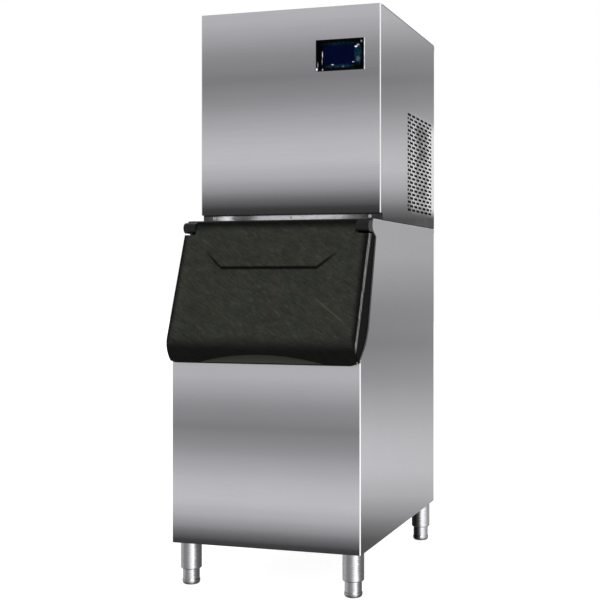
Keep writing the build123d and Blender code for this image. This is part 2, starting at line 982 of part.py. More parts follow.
def make_legs():
    """Four tubular legs, each with a stud that screws into the base."""
    with BuildPart() as legs:
        for spot in leg_places().values():
            with BuildSketch(Plane.XY.offset(foot_height)):
                with Locations(spot):
                    Circle(leg_radius)
                    Circle(foot_stem_radius + fit_gap, mode=Mode.SUBTRACT)
            extrude(amount=z_base - foot_height)
            with BuildSketch(Plane.XY.offset(z_base)):
                with Locations(spot):
                    Circle(leg_radius)
            extrude(amount=-(z_base - foot_height - foot_stem_length - 2))
            with BuildSketch(Plane.XY.offset(z_base)):
                with Locations(spot):
                    Circle(stud_radius)
            extrude(amount=stud_height)
        outer_edges = (
            legs.edges()
            .filter_by(GeomType.CIRCLE)
            .group_by(Axis.Z)[0]
            .filter_by(lambda edge: edge.radius > foot_stem_radius + 1)
        )
        chamfer(outer_edges, leg_chamfer)
    keep(legs, "legs")


def make_foot(name, spot):
    """Levelling foot with a rounded toe and the stem that screws into the leg."""
    rim = foot_radius + foot_lip
    rim_top = toe_radius + 4
    stem_top = foot_height + foot_stem_length
    upright = Plane(origin=(spot[0], spot[1], 0), x_dir=(1, 0, 0), z_dir=(0, -1, 0))
    with BuildPart() as foot:
        with BuildSketch(upright):
            with BuildLine():
                Polyline(
                    (0, 0),
                    (0, stem_top),
                    (foot_stem_radius, stem_top),
                    (foot_stem_radius, foot_height),
                    (foot_radius, foot_height),
                    (foot_radius, rim_top + 2 * foot_lip),
                    (rim, rim_top),
                    (rim, toe_radius),
                )
                TangentArc((rim, toe_radius), (rim - toe_radius, 0), tangent=(0, -1))
                Line((rim - toe_radius, 0), (0, 0))
            make_face()
        revolve(axis=Axis((spot[0], spot[1], 0), (0, 0, 1)))
    keep(foot, name)


def make_rim_gasket():
    """Soft strip between the bin's rim and the head."""
    strip = 14.0
    overhang = 16.0
    outer = half - side_insulation + overhang
    front = y_ledge_back - 24
    back = y_bin_back - 2 * sheet - side_insulation + overhang
    with BuildPart() as gasket:
        with BuildSketch(Plane.XY.offset(z_rim - sheet)):
            with Locations((0, (front + back) / 2)):
                Rectangle(2 * outer, back - front)
                Rectangle(2 * (outer - strip), back - front - 2 * strip, mode=Mode.SUBTRACT)
        extrude(amount=sheet)
    keep(gasket, "rim_gasket")


def make_head_base():
    """Tray under the head, with the opening that the ice drops through."""
    front = y_head_front + strip_recess
    outer = half - sheet - seam
    drop_left = -evaporator_left - drop_margin
    drop_right = -evaporator_left + evaporator_width + drop_margin
    with BuildPart() as base:
        with BuildSketch(Plane.XY.offset(z_rim)):
            with Locations((0, (front + y_tray_back) / 2)):
                Rectangle(2 * outer, y_tray_back - front)
        extrude(amount=strip_height)
        offset(amount=-heavy_sheet, openings=base.faces().sort_by(Axis.Z)[-1])
        with BuildSketch(Plane.XY.offset(z_rim)):
            with Locations(
                (
                    (drop_left + drop_right) / 2,
                    y_head_front + (drop_front + drop_back) / 2,
                )
            ):
                RectangleRounded(
                    drop_right - drop_left, drop_back - drop_front, drop_margin
                )
        extrude(amount=heavy_sheet, mode=Mode.SUBTRACT)
        with BuildSketch(Plane.XZ.offset(-front)):
            with Locations((0, z_screws)):
                with GridLocations(screw_spread, 1, 3, 1):
                    Circle(screw_radius + fit_gap)
        extrude(amount=-heavy_sheet, mode=Mode.SUBTRACT)
    keep(base, "head_base")


def make_strip_screws():
    """Three screws that hold the tray's front edge down, in one row."""
    front = y_head_front + strip_recess
    with BuildPart() as screws:
        with BuildSketch(Plane.XZ.offset(-front)):
            with Locations((0, z_screws)):
                with GridLocations(screw_spread, 1, 3, 1):
                    Circle(screw_head_radius)
        extrude(amount=screw_head_height)
        fillet(screws.faces().sort_by(Axis.Y)[0:3].edges(), screw_head_round)
        with BuildSketch(Plane.XZ.offset(-front)):
            with Locations((0, z_screws)):
                with GridLocations(screw_spread, 1, 3, 1):
                    Circle(screw_radius)
        extrude(amount=-screw_length)
    keep(screws, "strip_screws")


def make_head_frame():
    """Welded frame of the head: four angle posts and the ring that joins their tops."""
    outer = half - sheet - seam - heavy_sheet
    front = y_head_front + panel_return + seam
    back = y_tray_back - heavy_sheet
    low = z_rim + heavy_sheet
    high = z_top - 2 * sheet
    with BuildPart() as head_frame:
        for side in (-1, 1):
            for y, inward in ((front, 1), (back, -1)):
                with BuildSketch(Plane.XY.offset(low)):
                    with BuildLine():
                        Polyline(
                            (side * outer, y),
                            (side * (outer - post), y),
                            (side * (outer - post), y + inward * heavy_sheet),
                            (side * (outer - heavy_sheet), y + inward * heavy_sheet),
                            (side * (outer - heavy_sheet), y + inward * post),
                            (side * outer, y + inward * post),
                            close=True,
                        )
                    make_face()
                extrude(amount=high - low)
        with BuildSketch(Plane.XY.offset(high)):
            with Locations((0, (front + back) / 2)):
                Rectangle(2 * outer, back - front)
                Rectangle(
                    2 * (outer - post), back - front - 2 * post, mode=Mode.SUBTRACT
                )
        extrude(amount=-heavy_sheet)
        ring_top = head_frame.faces().sort_by(Axis.Z)[-1]
        outer_edges = ring_top.edges().filter_by(Axis.Y).sort_by(Axis.X)
        chamfer([outer_edges[0], outer_edges[-1]], post_relief)
    keep(head_frame, "head_frame")


def side_panel(side):
    """One side of the head, folded in at the back and along the top."""
    front = y_head_front + panel_return + seam
    back = y_back - sheet
    crown = z_top - sheet
    hand = Side.LEFT if side < 0 else Side.RIGHT
    with BuildPart() as panel:
        with BuildSketch(Plane.XY.offset(z_rim)):
            add(
                fold(
                    [
                        (side * (half - flange), back),
                        (side * half, back),
                        (side * half, front),
                    ],
                    sheet,
                    bend,
                    hand,
                )
            )
        extrude(amount=head_height - sheet - flange)
        with BuildSketch(Plane.XZ.offset(-back)):
            add(
                fold(
                    [
                        (side * half, crown - flange),
                        (side * half, crown),
                        (side * (half - flange), crown),
                    ],
                    sheet,
                    bend,
                    Side.RIGHT if side < 0 else Side.LEFT,
                )
            )
        extrude(amount=back - front)
    return panel.part


def make_head_left_panel():
    """Plain left side of the head."""
    with BuildPart() as panel:
        add(side_panel(-1))
    keep(panel, "head_left_panel")


def flat_slot(length):
    """Slot of the grille, its ends cut back at the corners."""
    flat = slot_height / 5
    cut = slot_height * 0.4
    with BuildSketch() as slot:
        with BuildLine():
            Polyline(
                (-length / 2, -flat / 2),
                (-length / 2 + cut, -slot_height / 2),
                (length / 2 - cut, -slot_height / 2),
                (length / 2, -flat / 2),
                (length / 2, flat / 2),
                (length / 2 - cut, slot_height / 2),
                (-length / 2 + cut, slot_height / 2),
                (-length / 2, flat / 2),
                close=True,
            )
        make_face()
    return slot.sketch


def grille_slots():
    """Face of all the slots of the side grille, rows staggered by half a pitch."""
    first_z = z_rim + grille_rise
    rear = y_back - grille_rear
    front = rear - slot_pitch * (slots_in_row - 1) - slot_length - 2 * grille_margin
    with BuildSketch() as slots:
        for row in range(grille_rows):
            stagger = slot_pitch / 2 if row % 2 else 0
            for k in range(-1, slots_in_row + 1):
                middle = front + slot_length / 2 + grille_margin + slot_pitch * k + stagger
                low = max(middle - slot_length / 2, front)
                high = min(middle + slot_length / 2, rear)
                if high - low > slot_height + 1:
                    with Locations(((low + high) / 2, first_z + row * row_pitch)):
                        add(flat_slot(high - low))
    return slots.sketch


def make_head_right_panel():
    """Right side of the head, with the staggered slots that feed the condenser."""
    with BuildPart() as panel:
        add(side_panel(1))
        with BuildSketch(Plane.YZ.offset(half)):
            add(grille_slots())
        extrude(amount=-sheet, mode=Mode.SUBTRACT)
    keep(panel, "head_right_panel")


def make_head_front_panel():
    """Front of the head, folded back on all four sides, with the display's window."""
    with BuildPart() as panel:
        with BuildSketch(Plane.XZ.offset(-(y_head_front + panel_return))):
            with Locations((0, (z_strip + z_top) / 2)):
                Rectangle(width, z_top - z_strip)
        extrude(amount=panel_return)
        face = panel.faces().sort_by(Axis.Y)[0]
        fillet(face.edges().filter_by(Axis.Z), bend)
        face = panel.faces().sort_by(Axis.Y)[0]
        fillet(face.edges().sort_by(Axis.Z)[-1], edge_round)
        offset(amount=-sheet, openings=panel.faces().sort_by(Axis.Y)[-1])
        with BuildSketch(Plane.XZ.offset(-y_head_front)):
            with Locations((x_display, z_display)):
                Rectangle(display_width - 2 * bezel_rim, display_height - 2 * bezel_rim)
        extrude(amount=-sheet, mode=Mode.SUBTRACT)
    keep(panel, "head_front_panel")


def make_head_top_cover():
    """Flat cover over the head."""
    front = y_head_front + panel_return + seam
    with BuildPart() as cover:
        with BuildSketch(Plane.XY.offset(z_top - sheet)):
            with Locations((0, (front + y_back) / 2)):
                Rectangle(width, y_back - front)
        extrude(amount=sheet)
        fillet(cover.edges().filter_by(Axis.Z).sort_by(Axis.Y)[-2:], bend)
        fillet(cover.faces().sort_by(Axis.Z)[-1].edges().sort_by(Axis.Y)[1:], cover_round)
    keep(cover, "head_top_cover")


def make_head_rear_panel():
    """Back of the head, with louvre slots for the warm air and holes for the connections."""
    top = z_top - sheet - seam
    low = z_rim + seam
    with BuildPart() as panel:
        with BuildSketch(Plane.XZ.offset(-y_back)):
            with Locations((0, (low + top) / 2)):
                Rectangle(width - 2 * bend, top - low)
            with Locations((vent_x, z_rim + vent_rise)):
                with GridLocations(vent_slot_pitch, vent_row_pitch, vent_columns, vent_rows):
                    add(flat_slot(vent_slot), mode=Mode.SUBTRACT)
            with Locations((x_inlet, z_inlet)):
                Circle(inlet_neck + seam, mode=Mode.SUBTRACT)
            with Locations((x_outlet, z_outlet)):
                Circle(outlet_radius + seam, mode=Mode.SUBTRACT)
        extrude(amount=sheet)
    keep(panel, "head_rear_panel")


def make_display_bezel():
    """Black surround that clips into the front panel's window."""
    y_face = y_head_front - bezel_proud
    with BuildPart() as bezel:
        with BuildSketch(Plane.XZ.offset(-y_head_front)):
            with Locations((x_display, z_display)):
                Rectangle(display_width, display_height)
        extrude(amount=bezel_proud)
        fillet(bezel.faces().sort_by(Axis.Y)[0].edges(), bezel_round)
        with BuildSketch(Plane.XZ.offset(-y_head_front)):
            with Locations((x_display, z_display)):
                Rectangle(
                    display_width - 2 * (bezel_rim + clip_gap),
                    display_height - 2 * (bezel_rim + clip_gap),
                )
        extrude(amount=-bezel_depth)
        with BuildSketch(Plane.XZ.offset(-y_face)):
            with Locations((x_display, z_display)):
                Rectangle(screen_width + 2 * clip_gap, screen_height + 2 * clip_gap)
        extrude(amount=-(bezel_proud + bezel_depth - bezel_floor), mode=Mode.SUBTRACT)
    keep(bezel, "display_bezel")


def make_display_screen():
    """Glass of the display, set just behind the surround's face."""
    with BuildPart() as screen:
        with BuildSketch(Plane.XZ.offset(-(y_head_front - bezel_proud + screen_set_back))):
            with Locations((x_display, z_display)):
                Rectangle(screen_width, screen_height)
        extrude(amount=-screen_sheet)
    keep(screen, "display_screen")


def make_display_board():
    """Display module behind the glass, resting on the surround's floor."""
    glass_back = y_head_front - bezel_proud + screen_set_back + screen_sheet
    y_floor = y_head_front + bezel_depth - bezel_floor
    with BuildPart() as board:
        with BuildSketch(Plane.XZ.offset(-y_floor)):
            with Locations((x_display, z_display)):
                Rectangle(screen_width - 2, screen_height - 2)
        extrude(amount=y_floor - glass_back)
    keep(board, "display_board")


def make_partition():
    """Wall between the ice making zone and the cooling zone, holed for the pipes."""
    outer = half - sheet - seam - heavy_sheet
    low = z_rim + heavy_sheet
    high = z_top - 2 * sheet - heavy_sheet
    with BuildPart() as wall:
        with BuildSketch(Plane.XZ.offset(-(y_partition + heavy_sheet))):
            with Locations((0, (low + high) / 2)):
                Rectangle(2 * outer, high - low)
            with Locations((x_outlet, z_outlet)):
                Circle(outlet_radius + seam, mode=Mode.SUBTRACT)
            with Locations((x_inlet, z_inlet)):
                Circle(feed_radius + seam, mode=Mode.SUBTRACT)
            with Locations((x_coil_right, z_coil_low), (x_coil_right, z_coil_high)):
                Circle(coil_radius + seam, mode=Mode.SUBTRACT)
        extrude(amount=heavy_sheet)
    keep(wall, "partition")


def make_control_box():
    """Open-fronted electrical box held between the front right post and the top ring."""
    right = half - sheet - seam - 2 * heavy_sheet
    front = y_head_front + panel_return + seam + heavy_sheet
    top = z_top - 2 * sheet - heavy_sheet
    with BuildPart() as box:
        with BuildSketch(Plane.XZ.offset(-front)):
            with Locations((right - control_width / 2, top - control_height / 2)):
                Rectangle(control_width, control_height)
        extrude(amount=-control_depth)
        offset(amount=-sheet, openings=box.faces().sort_by(Axis.Y)[0])
    keep(box, "control_box")


def make_control_board():
    """Circuit board with its relays and transformer, on the back of the box."""
    right = half - sheet - seam - 2 * heavy_sheet
    back = y_head_front + panel_return + seam + heavy_sheet + control_depth - sheet
    top = z_top - 2 * sheet - heavy_sheet
    middle_x = right - control_width / 2
    middle_z = top - control_height / 2
    board_width = control_width - 30
    board_height = control_height - 40
    board_face = back - standoff_height - board_sheet
    with BuildPart() as board:
        with BuildSketch(Plane.XZ.offset(-back)):
            with Locations((middle_x, middle_z)):
                with GridLocations(board_width - 14, board_height - 14, 2, 2):
                    Circle(standoff_radius)
        extrude(amount=standoff_height)
        with BuildSketch(Plane.XZ.offset(-(back - standoff_height))):
            with Locations((middle_x, middle_z)):
                Rectangle(board_width, board_height)
        extrude(amount=board_sheet)
        with BuildSketch(Plane.XZ.offset(-board_face)):
            with Locations((middle_x, middle_z + 60)):
                with GridLocations(relay_pitch, 1, 4, 1):
                    Rectangle(*relay_size)
            with Locations((middle_x, middle_z - 70)):
                Rectangle(*transformer_size)
        extrude(amount=relay_height)
    keep(board, "control_board")


def make_evaporator():
    """Grid of square freezing cells, open to the front, on its cold plate."""
    y_face = y_head_front + evaporator_back
    pitch = cell + cell_wall
    with BuildPart() as grid:
        with BuildSketch(Plane.XZ.offset(-(y_face + grid_depth))):
            with Locations((x_evaporator, z_evaporator)):
                Rectangle(evaporator_width, evaporator_height)
        extrude(amount=grid_depth)
        with BuildSketch(Plane.XZ.offset(-y_face)):
            with Locations((x_evaporator, z_evaporator)):
                with GridLocations(pitch, pitch, cells_across, cells_up):
                    Rectangle(cell, cell)
        extrude(amount=-(grid_depth - cold_plate), mode=Mode.SUBTRACT, taper=cell_draft)
    keep(grid, "evaporator")


def make_evaporator_coil():
    """Serpentine pipe brazed to the back of the cold plate."""
    y_pipe = y_head_front + evaporator_back + grid_depth + coil_radius
    reach = evaporator_width / 2 - coil_inset
    step = (z_coil_high - z_coil_low) / (coil_passes - 1)
    points = [(x_coil_right, y_coil_end, z_coil_low), (x_coil_right, y_pipe, z_coil_low)]
    for k in range(coil_passes - 1):
        x_turn = x_evaporator + (-reach if k % 2 == 0 else reach)
        points.append((x_turn, y_pipe, z_coil_low + k * step))
        points.append((x_turn, y_pipe, z_coil_low + (k + 1) * step))
    points.append((x_coil_right, y_pipe, z_coil_high))
    points.append((x_coil_right, y_coil_end, z_coil_high))
    with BuildPart() as coil:
        with BuildLine() as run:
            FilletPolyline(*points, radius=coil_bend)
        with BuildSketch(Plane(run.line @ 0, z_dir=run.line % 0)):
            Circle(coil_radius)
        sweep(path=run.line)
    keep(coil, "evaporator_coil")


def make_evaporator_frame():
    """Moulded surround of the evaporator, with its arms, curtain ears and probe clip."""
    y_face = y_head_front + evaporator_back
    front = y_face - surround_proud
    back = y_face + grid_depth + surround_proud
    outer_width = evaporator_width + 2 * surround
    outer_height = evaporator_height + 2 * surround
    ear_front = curtain_hinge[0] - 2 * curtain_pin
    clip_front = probe_hinge[0] - 2 * probe_pin
    clip_reach = probe_width / 2 + 2.2
    with BuildPart() as frame:
        with BuildSketch(Plane.XZ.offset(-back)):
            with Locations((x_evaporator, z_evaporator)):
                Rectangle(outer_width, outer_height)
                Rectangle(evaporator_width, evaporator_height, mode=Mode.SUBTRACT)
        extrude(amount=back - front)
        with BuildSketch(Plane.XZ.offset(-y_partition)):
            with Locations((x_evaporator, z_evaporator)):
                with GridLocations(outer_width - surround, outer_height - surround, 2, 2):
                    Rectangle(surround, surround)
        extrude(amount=y_partition - back)
        for side in (-1, 1):
            ear_x = x_evaporator + side * (outer_width - ear) / 2
            with BuildSketch(Plane.YZ.offset(ear_x - ear / 2)):
                with Locations(((front + ear_front) / 2, curtain_hinge[1])):
                    Rectangle(front - ear_front, ear_height)
                with Locations(curtain_hinge):
                    Circle(curtain_pin + fit_gap, mode=Mode.SUBTRACT)
            extrude(amount=ear)
        for side in (-1, 1):
            clip_x = x_probe + side * clip_reach
            with BuildSketch(Plane.YZ.offset(clip_x - clip_sheet / 2)):
                with Locations(((front + clip_front) / 2, probe_hinge[1])):
                    Rectangle(front - clip_front, clip_height)
                with Locations(probe_hinge):
                    Circle(probe_pin + fit_gap, mode=Mode.SUBTRACT)
            extrude(amount=clip_sheet)
    keep(frame, "evaporator_frame")


def make_water_curtain():
    """Ribbed flap in front of the grid, swinging on two pins at its top."""
    back = curtain_hinge[0] - 1
    left = x_evaporator - evaporator_width / 2 - surround + ear + 1.5
    right = x_evaporator + evaporator_width / 2 + surround - ear - 1.5
    low = z_trough_rim + 8
    high = curtain_hinge[1] + ear_height / 2
    with BuildPart() as curtain:
        with BuildSketch(Plane.XZ.offset(-back)):
            with Locations(((left + right) / 2, (low + high) / 2)):
                RectangleRounded(right - left, high - low, drop_margin)
        extrude(amount=curtain_sheet)
        with BuildSketch(Plane.XZ.offset(-(back - curtain_sheet))):
            with Locations(((left + right) / 2, (low + high) / 2)):
                with GridLocations((right - left) / (curtain_ribs + 1), 1, curtain_ribs, 1):
                    Rectangle(curtain_rib[0], (high - low) * 0.8)
        extrude(amount=curtain_rib[1])
        for side, edge in ((-1, left), (1, right)):
            with BuildSketch(Plane.YZ.offset(edge - side * 10)):
                with Locations(curtain_hinge):
                    Circle(curtain_pin + 2)
            extrude(amount=side * 10)
            with BuildSketch(Plane.YZ.offset(edge)):
                with Locations(curtain_hinge):
                    Circle(curtain_pin)
            extrude(amount=side * (ear + 1))
    keep(curtain, "water_curtain")


def make_ice_probe():
    """Thickness probe hanging a few millimetres in front of the grid."""
    with BuildPart() as probe:
        with BuildSketch(Plane.YZ.offset(x_probe - probe_width / 2)):
            with Locations(probe_hinge):
                Circle(probe_pin + 1.4)
            with Locations((probe_hinge[0], probe_hinge[1] - probe_drop / 2)):
                Rectangle(probe_sheet, probe_drop)
        extrude(amount=probe_width)
        with BuildSketch(Plane.YZ.offset(x_probe - probe_width / 2 - probe_sheet)):
            with Locations(probe_hinge):
                Circle(probe_pin)
        extrude(amount=probe_width + 2 * probe_sheet)
        with BuildSketch(Plane.XY.offset(probe_hinge[1] - probe_drop - 6)):
            with Locations((x_probe, probe_hinge[0])):
                with GridLocations(probe_width - 5, 1, 2, 1):
                    Circle(1.2)
        extrude(amount=6)
    keep(probe, "ice_probe")


def make_water_distributor():
    """Pipe along the top of the evaporator, drilled to wet every column."""
    axis = (y_distributor, z_distributor)
    left = x_evaporator - evaporator_width / 2
    with BuildPart() as pipe:
        with BuildSketch(Plane.YZ.offset(left)):
            with Locations(axis):
                Circle(distributor_radius)
        extrude(amount=evaporator_width + surround)
        with BuildSketch(Plane.YZ.offset(left + 3)):
            with Locations(axis):
                Circle(distributor_radius - distributor_wall)
        extrude(amount=evaporator_width + surround, mode=Mode.SUBTRACT)
        with BuildSketch(Plane.XZ.offset(-y_distributor)):
            with Locations((x_evaporator, z_distributor - cell_wall)):
                with GridLocations(cell + cell_wall, 1, cells_across, 1):
                    Rectangle(cell_wall, cell_wall)
        extrude(amount=2 * distributor_radius, mode=Mode.SUBTRACT)
    keep(pipe, "water_distributor")


def make_water_trough():
    """Moulded tank under the evaporator, on its four feet."""
    front = y_head_front + trough_front
    back = y_head_front + trough_back
    low = z_rim + trough_floor
    with BuildPart() as trough:
        with BuildSketch(Plane.XY.offset(low)):
            with Locations(((trough_left + trough_right) / 2, (front + back) / 2)):
                RectangleRounded(
                    trough_right - trough_left, back - front, trough_corner
                )
        extrude(amount=trough_height)
        fillet(trough.faces().sort_by(Axis.Z)[0].edges(), trough_round)
        offset(amount=-trough_wall, openings=trough.faces().sort_by(Axis.Z)[-1])
        with BuildSketch(Plane.XY.offset(z_rim + heavy_sheet)):
            with Locations(((trough_left + trough_right) / 2, (front + back) / 2)):
                with GridLocations(
                    trough_right - trough_left - 60, back - front - 40, 2, 2
                ):
                    Rectangle(*trough_foot)
        extrude(amount=trough_floor - heavy_sheet + 1)
        with BuildSketch(Plane.XZ.offset(-back)):
            with Locations((x_outlet, z_outlet)):
                Circle(spigot_radius - spigot_wall)
        extrude(amount=trough_wall, mode=Mode.SUBTRACT)
    keep(trough, "water_trough")


def make_water_pump():
    """Pump standing on the trough's rim, its column reaching into the water."""
    depth = trough_back - trough_front
    plate_width, plate_sheet = pump_plate
    z_head = z_rim + trough_floor + trough_wall + pump_head_rise
    z_plate_top = z_trough_rim + plate_sheet
    with BuildPart() as pump:
        with BuildSketch(Plane.XY.offset(z_trough_rim)):
            with Locations((x_pump, y_head_front + trough_front + depth / 2)):
                Rectangle(plate_width, depth)
        extrude(amount=plate_sheet)
        with BuildSketch(Plane.XY.offset(z_plate_top)):
            with Locations((x_pump, y_pump)):
                Circle(pump_can_radius)
        extrude(amount=pump_can_height)
        fillet(pump.faces().sort_by(Axis.Z)[-1].edges(), motor_round)
        with BuildSketch(Plane.XY.offset(z_head)):
            with Locations((x_pump, y_pump)):
                Circle(pump_head_radius)
        extrude(amount=pump_head_height)
        with BuildSketch(Plane.XY.offset(z_head)):
            with Locations((x_pump, y_pump)):
                Circle(pump_column_radius)
        extrude(amount=z_trough_rim - z_head)
    keep(pump, "water_pump")


def make_pump_hose():
    """Hose from the pump's plate up to the distributor."""
    x_end = x_evaporator + evaporator_width / 2 + surround
    with BuildPart() as hose:
        with BuildLine() as run:
            FilletPolyline(
                (x_hose, y_hose, z_trough_rim + pump_plate[1]),
                (x_hose, y_hose, z_distributor),
                (x_hose, y_distributor, z_distributor),
                (x_end - 8, y_distributor, z_distributor),
                radius=hose_bend,
            )
        with BuildSketch(Plane(run.line @ 0, z_dir=run.line % 0)):
            Circle(distributor_radius - distributor_wall - seam)
        sweep(path=run.line)
    keep(hose, "pump_hose")


def make_float_stem():
    """Guide rod of the float, held by a bracket on the trough's back wall."""
    floor = z_rim + trough_floor + trough_wall
    back = y_head_front + trough_back
    bracket_width, bracket_sheet = stem_bracket
    with BuildPart() as stem:
        with BuildSketch(Plane.XY.offset(floor)):
            with Locations((x_float, y_float)):
                Circle(float_collar_radius)
        extrude(amount=float_collar)
        with BuildSketch(Plane.XY.offset(floor)):
            with Locations((x_float, y_float)):
                Circle(float_stem)
        extrude(amount=trough_height + 6)
        with BuildSketch(Plane.XY.offset(z_trough_rim)):
            with Locations((x_float, (y_float + back) / 2)):
                Rectangle(bracket_width, back - y_float + 2 * float_collar_radius)
        extrude(amount=bracket_sheet)
    keep(stem, "float_stem")


def make_float():
    """Ring float that rises on the stem with the water."""
    floor = z_rim + trough_floor + trough_wall
    with BuildPart() as ring:
        with BuildSketch(Plane.XY.offset(floor + float_collar)):
            with Locations((x_float, y_float)):
                Circle(float_radius)
                Circle(float_stem + fit_gap, mode=Mode.SUBTRACT)
        extrude(amount=float_height)
        fillet(ring.faces().sort_by(Axis.Z)[-1].edges().sort_by(SortBy.RADIUS)[-1], 2)
    keep(ring, "float")


def make_compressor():
    """Hermetic compressor: domed pot with its weld seam, foot plate and terminal cover."""
    place = (x_compressor, y_compressor)
    foot_z = z_rim + heavy_sheet + grommet_height
    middle_z = foot_z + compressor_height / 2
    seam_proud, seam_height = weld_seam
    with BuildPart() as pot:
        with BuildSketch(Plane.XY.offset(foot_z)):
            with Locations(place):
                Circle(compressor_radius)
        extrude(amount=compressor_height)
        fillet(pot.edges(), pot_round)
        with BuildSketch(Plane.XY.offset(middle_z)):
            with Locations(place):
                Circle(compressor_radius + seam_proud)
        extrude(amount=seam_height)
        with BuildSketch(Plane.XY.offset(foot_z)):
            with Locations(place):
                RectangleRounded(
                    2 * compressor_radius + 18, 2 * compressor_radius + 6, 16
                )
                with GridLocations(*grommet_spread, 2, 2):
                    Circle(foot_hole, mode=Mode.SUBTRACT)
        extrude(amount=foot_plate)
        with BuildSketch(Plane.YZ.offset(x_compressor + compressor_radius - 6)):
            with Locations((y_compressor, foot_z + compressor_height * 0.7)):
                RectangleRounded(*terminal_cover, 6)
        extrude(amount=terminal_depth + 6)
        with BuildSketch(Plane.XY.offset(foot_z + compressor_height - 1)):
            with Locations((x_suction, y_suction), (x_discharge, y_discharge)):
                Circle(stub_radius)
        extrude(amount=stub_rise + 1)
    keep(pot, "compressor")


def make_compressor_grommets():
    """Four rubber bushes under the compressor's foot plate."""
    bottom = z_rim + heavy_sheet
    with BuildPart() as grommets:
        with BuildSketch(Plane.XY.offset(bottom)):
            with Locations((x_compressor, y_compressor)):
                with GridLocations(*grommet_spread, 2, 2):
                    Circle(grommet_radius)
        extrude(amount=grommet_height)
        with BuildSketch(Plane.XY.offset(bottom)):
            with Locations((x_compressor, y_compressor)):
                with GridLocations(*grommet_spread, 2, 2):
                    Circle(grommet_neck)
        extrude(amount=grommet_height + 3 * foot_plate)
    keep(grommets, "compressor_grommets")


def make_condenser():
    """Finned block behind the side grille, standing on the tray by its end plates."""
    front = y_head_front + condenser_front
    back = y_head_front + condenser_back
    height = condenser_high - condenser_low
    fins = int((back - front - 30) / fin_pitch)
    with BuildPart() as condenser:
        with BuildSketch(Plane.YZ.offset(x_condenser)):
            with Locations((y_fan, z_fan)):
                Rectangle(back - front, height)
            with Locations((y_fan, z_rim + condenser_high / 2)):
                with GridLocations(back - front - end_plate, 1, 2, 1):
                    Rectangle(end_plate, condenser_high - 2 * heavy_sheet)
        extrude(amount=condenser_depth)
        for x, inward in ((x_condenser + condenser_depth, -1), (x_condenser, 1)):
            with BuildSketch(Plane.YZ.offset(x)):
                with Locations((y_fan, z_fan)):
                    with GridLocations(fin_pitch, 1, fins, 1):
                        Rectangle(fin_pitch - fin_groove, height - 2 * fin_margin)
            extrude(amount=inward * fin_groove_depth, mode=Mode.SUBTRACT)
    keep(condenser, "condenser")


def make_fan_shroud():
    """Sheet shroud on the condenser's back, with the flared ring round the fan."""
    opening = fan_radius + fan_gap
    with BuildPart() as shroud:
        with BuildSketch(Plane.YZ.offset(x_condenser)):
            with Locations((y_fan, z_fan)):
                Rectangle(
                    condenser_back - condenser_front, condenser_high - condenser_low
                )
        extrude(amount=-shroud_depth)
        offset(amount=-sheet, openings=shroud.faces().sort_by(Axis.X)[-1])
        with BuildSketch(Plane.YZ.offset(x_condenser - shroud_depth)):
            with Locations((y_fan, z_fan)):
                Circle(opening + ring_sheet)
        extrude(amount=-ring_length)
        with BuildSketch(Plane.YZ.offset(x_condenser)):
            with Locations((y_fan, z_fan)):
                Circle(opening)
        extrude(amount=-(shroud_depth + ring_length), mode=Mode.SUBTRACT)
    keep(shroud, "fan_shroud")


def make_fan_bracket():
    """Strap across the shroud that carries the fan's motor."""
    x_face = x_condenser - shroud_depth
    reach = fan_radius + fan_gap + 12
    with BuildPart() as bracket:
        with BuildSketch(Plane.XZ.offset(-(y_fan + strap_width / 2))):
            with BuildLine():
                Polyline(
                    (x_face, z_fan + reach + strap_foot),
                    (x_face, z_fan + reach),
                    (x_strap, z_fan + reach),
                    (x_strap, z_fan - reach),
                    (x_face, z_fan - reach),
                    (x_face, z_fan - reach - strap_foot),
                )
                offset(amount=strap_sheet, side=Side.RIGHT)
            make_face()
        extrude(amount=strap_width)
        with BuildSketch(Plane.YZ.offset(x_strap)):
            with Locations((y_fan, z_fan)):
                Circle(strap_hole)
        extrude(amount=-2 * strap_sheet, mode=Mode.SUBTRACT)
    keep(bracket, "fan_bracket")


def make_fan_motor():
    """Fan motor with its ribbed can and shaft."""
    x_face = x_strap - strap_sheet
    with BuildPart() as motor:
        with BuildSketch(Plane.YZ.offset(x_face)):
            with Locations((y_fan, z_fan)):
                Circle(motor_radius)
        extrude(amount=-motor_length)
        fillet(motor.edges().sort_by(Axis.X)[0], motor_round)
        with BuildSketch(Plane.YZ.offset(x_face)):
            with Locations((y_fan, z_fan)):
                Circle(shaft_radius)
        extrude(amount=x_strap - x_face + fan_start + hub_length - 6)
    keep(motor, "fan_motor")


def blade_plane(x_hub, turn, reach, pitch):
    """Plane across a blade at a distance from the shaft, tilted to the blade's pitch."""
    out = (0, cos(radians(turn)), sin(radians(turn)))
    along = (0, -sin(radians(turn)), cos(radians(turn)))
    chord = (
        sin(radians(pitch)),
        along[1] * cos(radians(pitch)),
        along[2] * cos(radians(pitch)),
    )
    origin = (x_hub + hub_length / 2, y_fan + out[1] * reach, z_fan + out[2] * reach)
    return Plane(origin=origin, x_dir=chord, z_dir=out)


def make_fan_blade():
    """Fan with its hub and five twisted blades."""
    x_hub = x_strap + fan_start
    with BuildPart() as fan:
        with BuildSketch(Plane.YZ.offset(x_hub)):
            with Locations((y_fan, z_fan)):
                Circle(hub_radius)
        extrude(amount=hub_length)
        for k in range(fan_blades):
            turn = 360 / fan_blades * k
            for reach, chord, pitch in blade_stations:
                with BuildSketch(blade_plane(x_hub, turn, reach, pitch)):
                    Rectangle(chord, blade_sheet)
            loft()
        with BuildSketch(Plane.YZ.offset(x_hub)):
            with Locations((y_fan, z_fan)):
                Circle(shaft_radius + press_gap)
        extrude(amount=hub_length - 4, mode=Mode.SUBTRACT)
    keep(fan, "fan_blade")


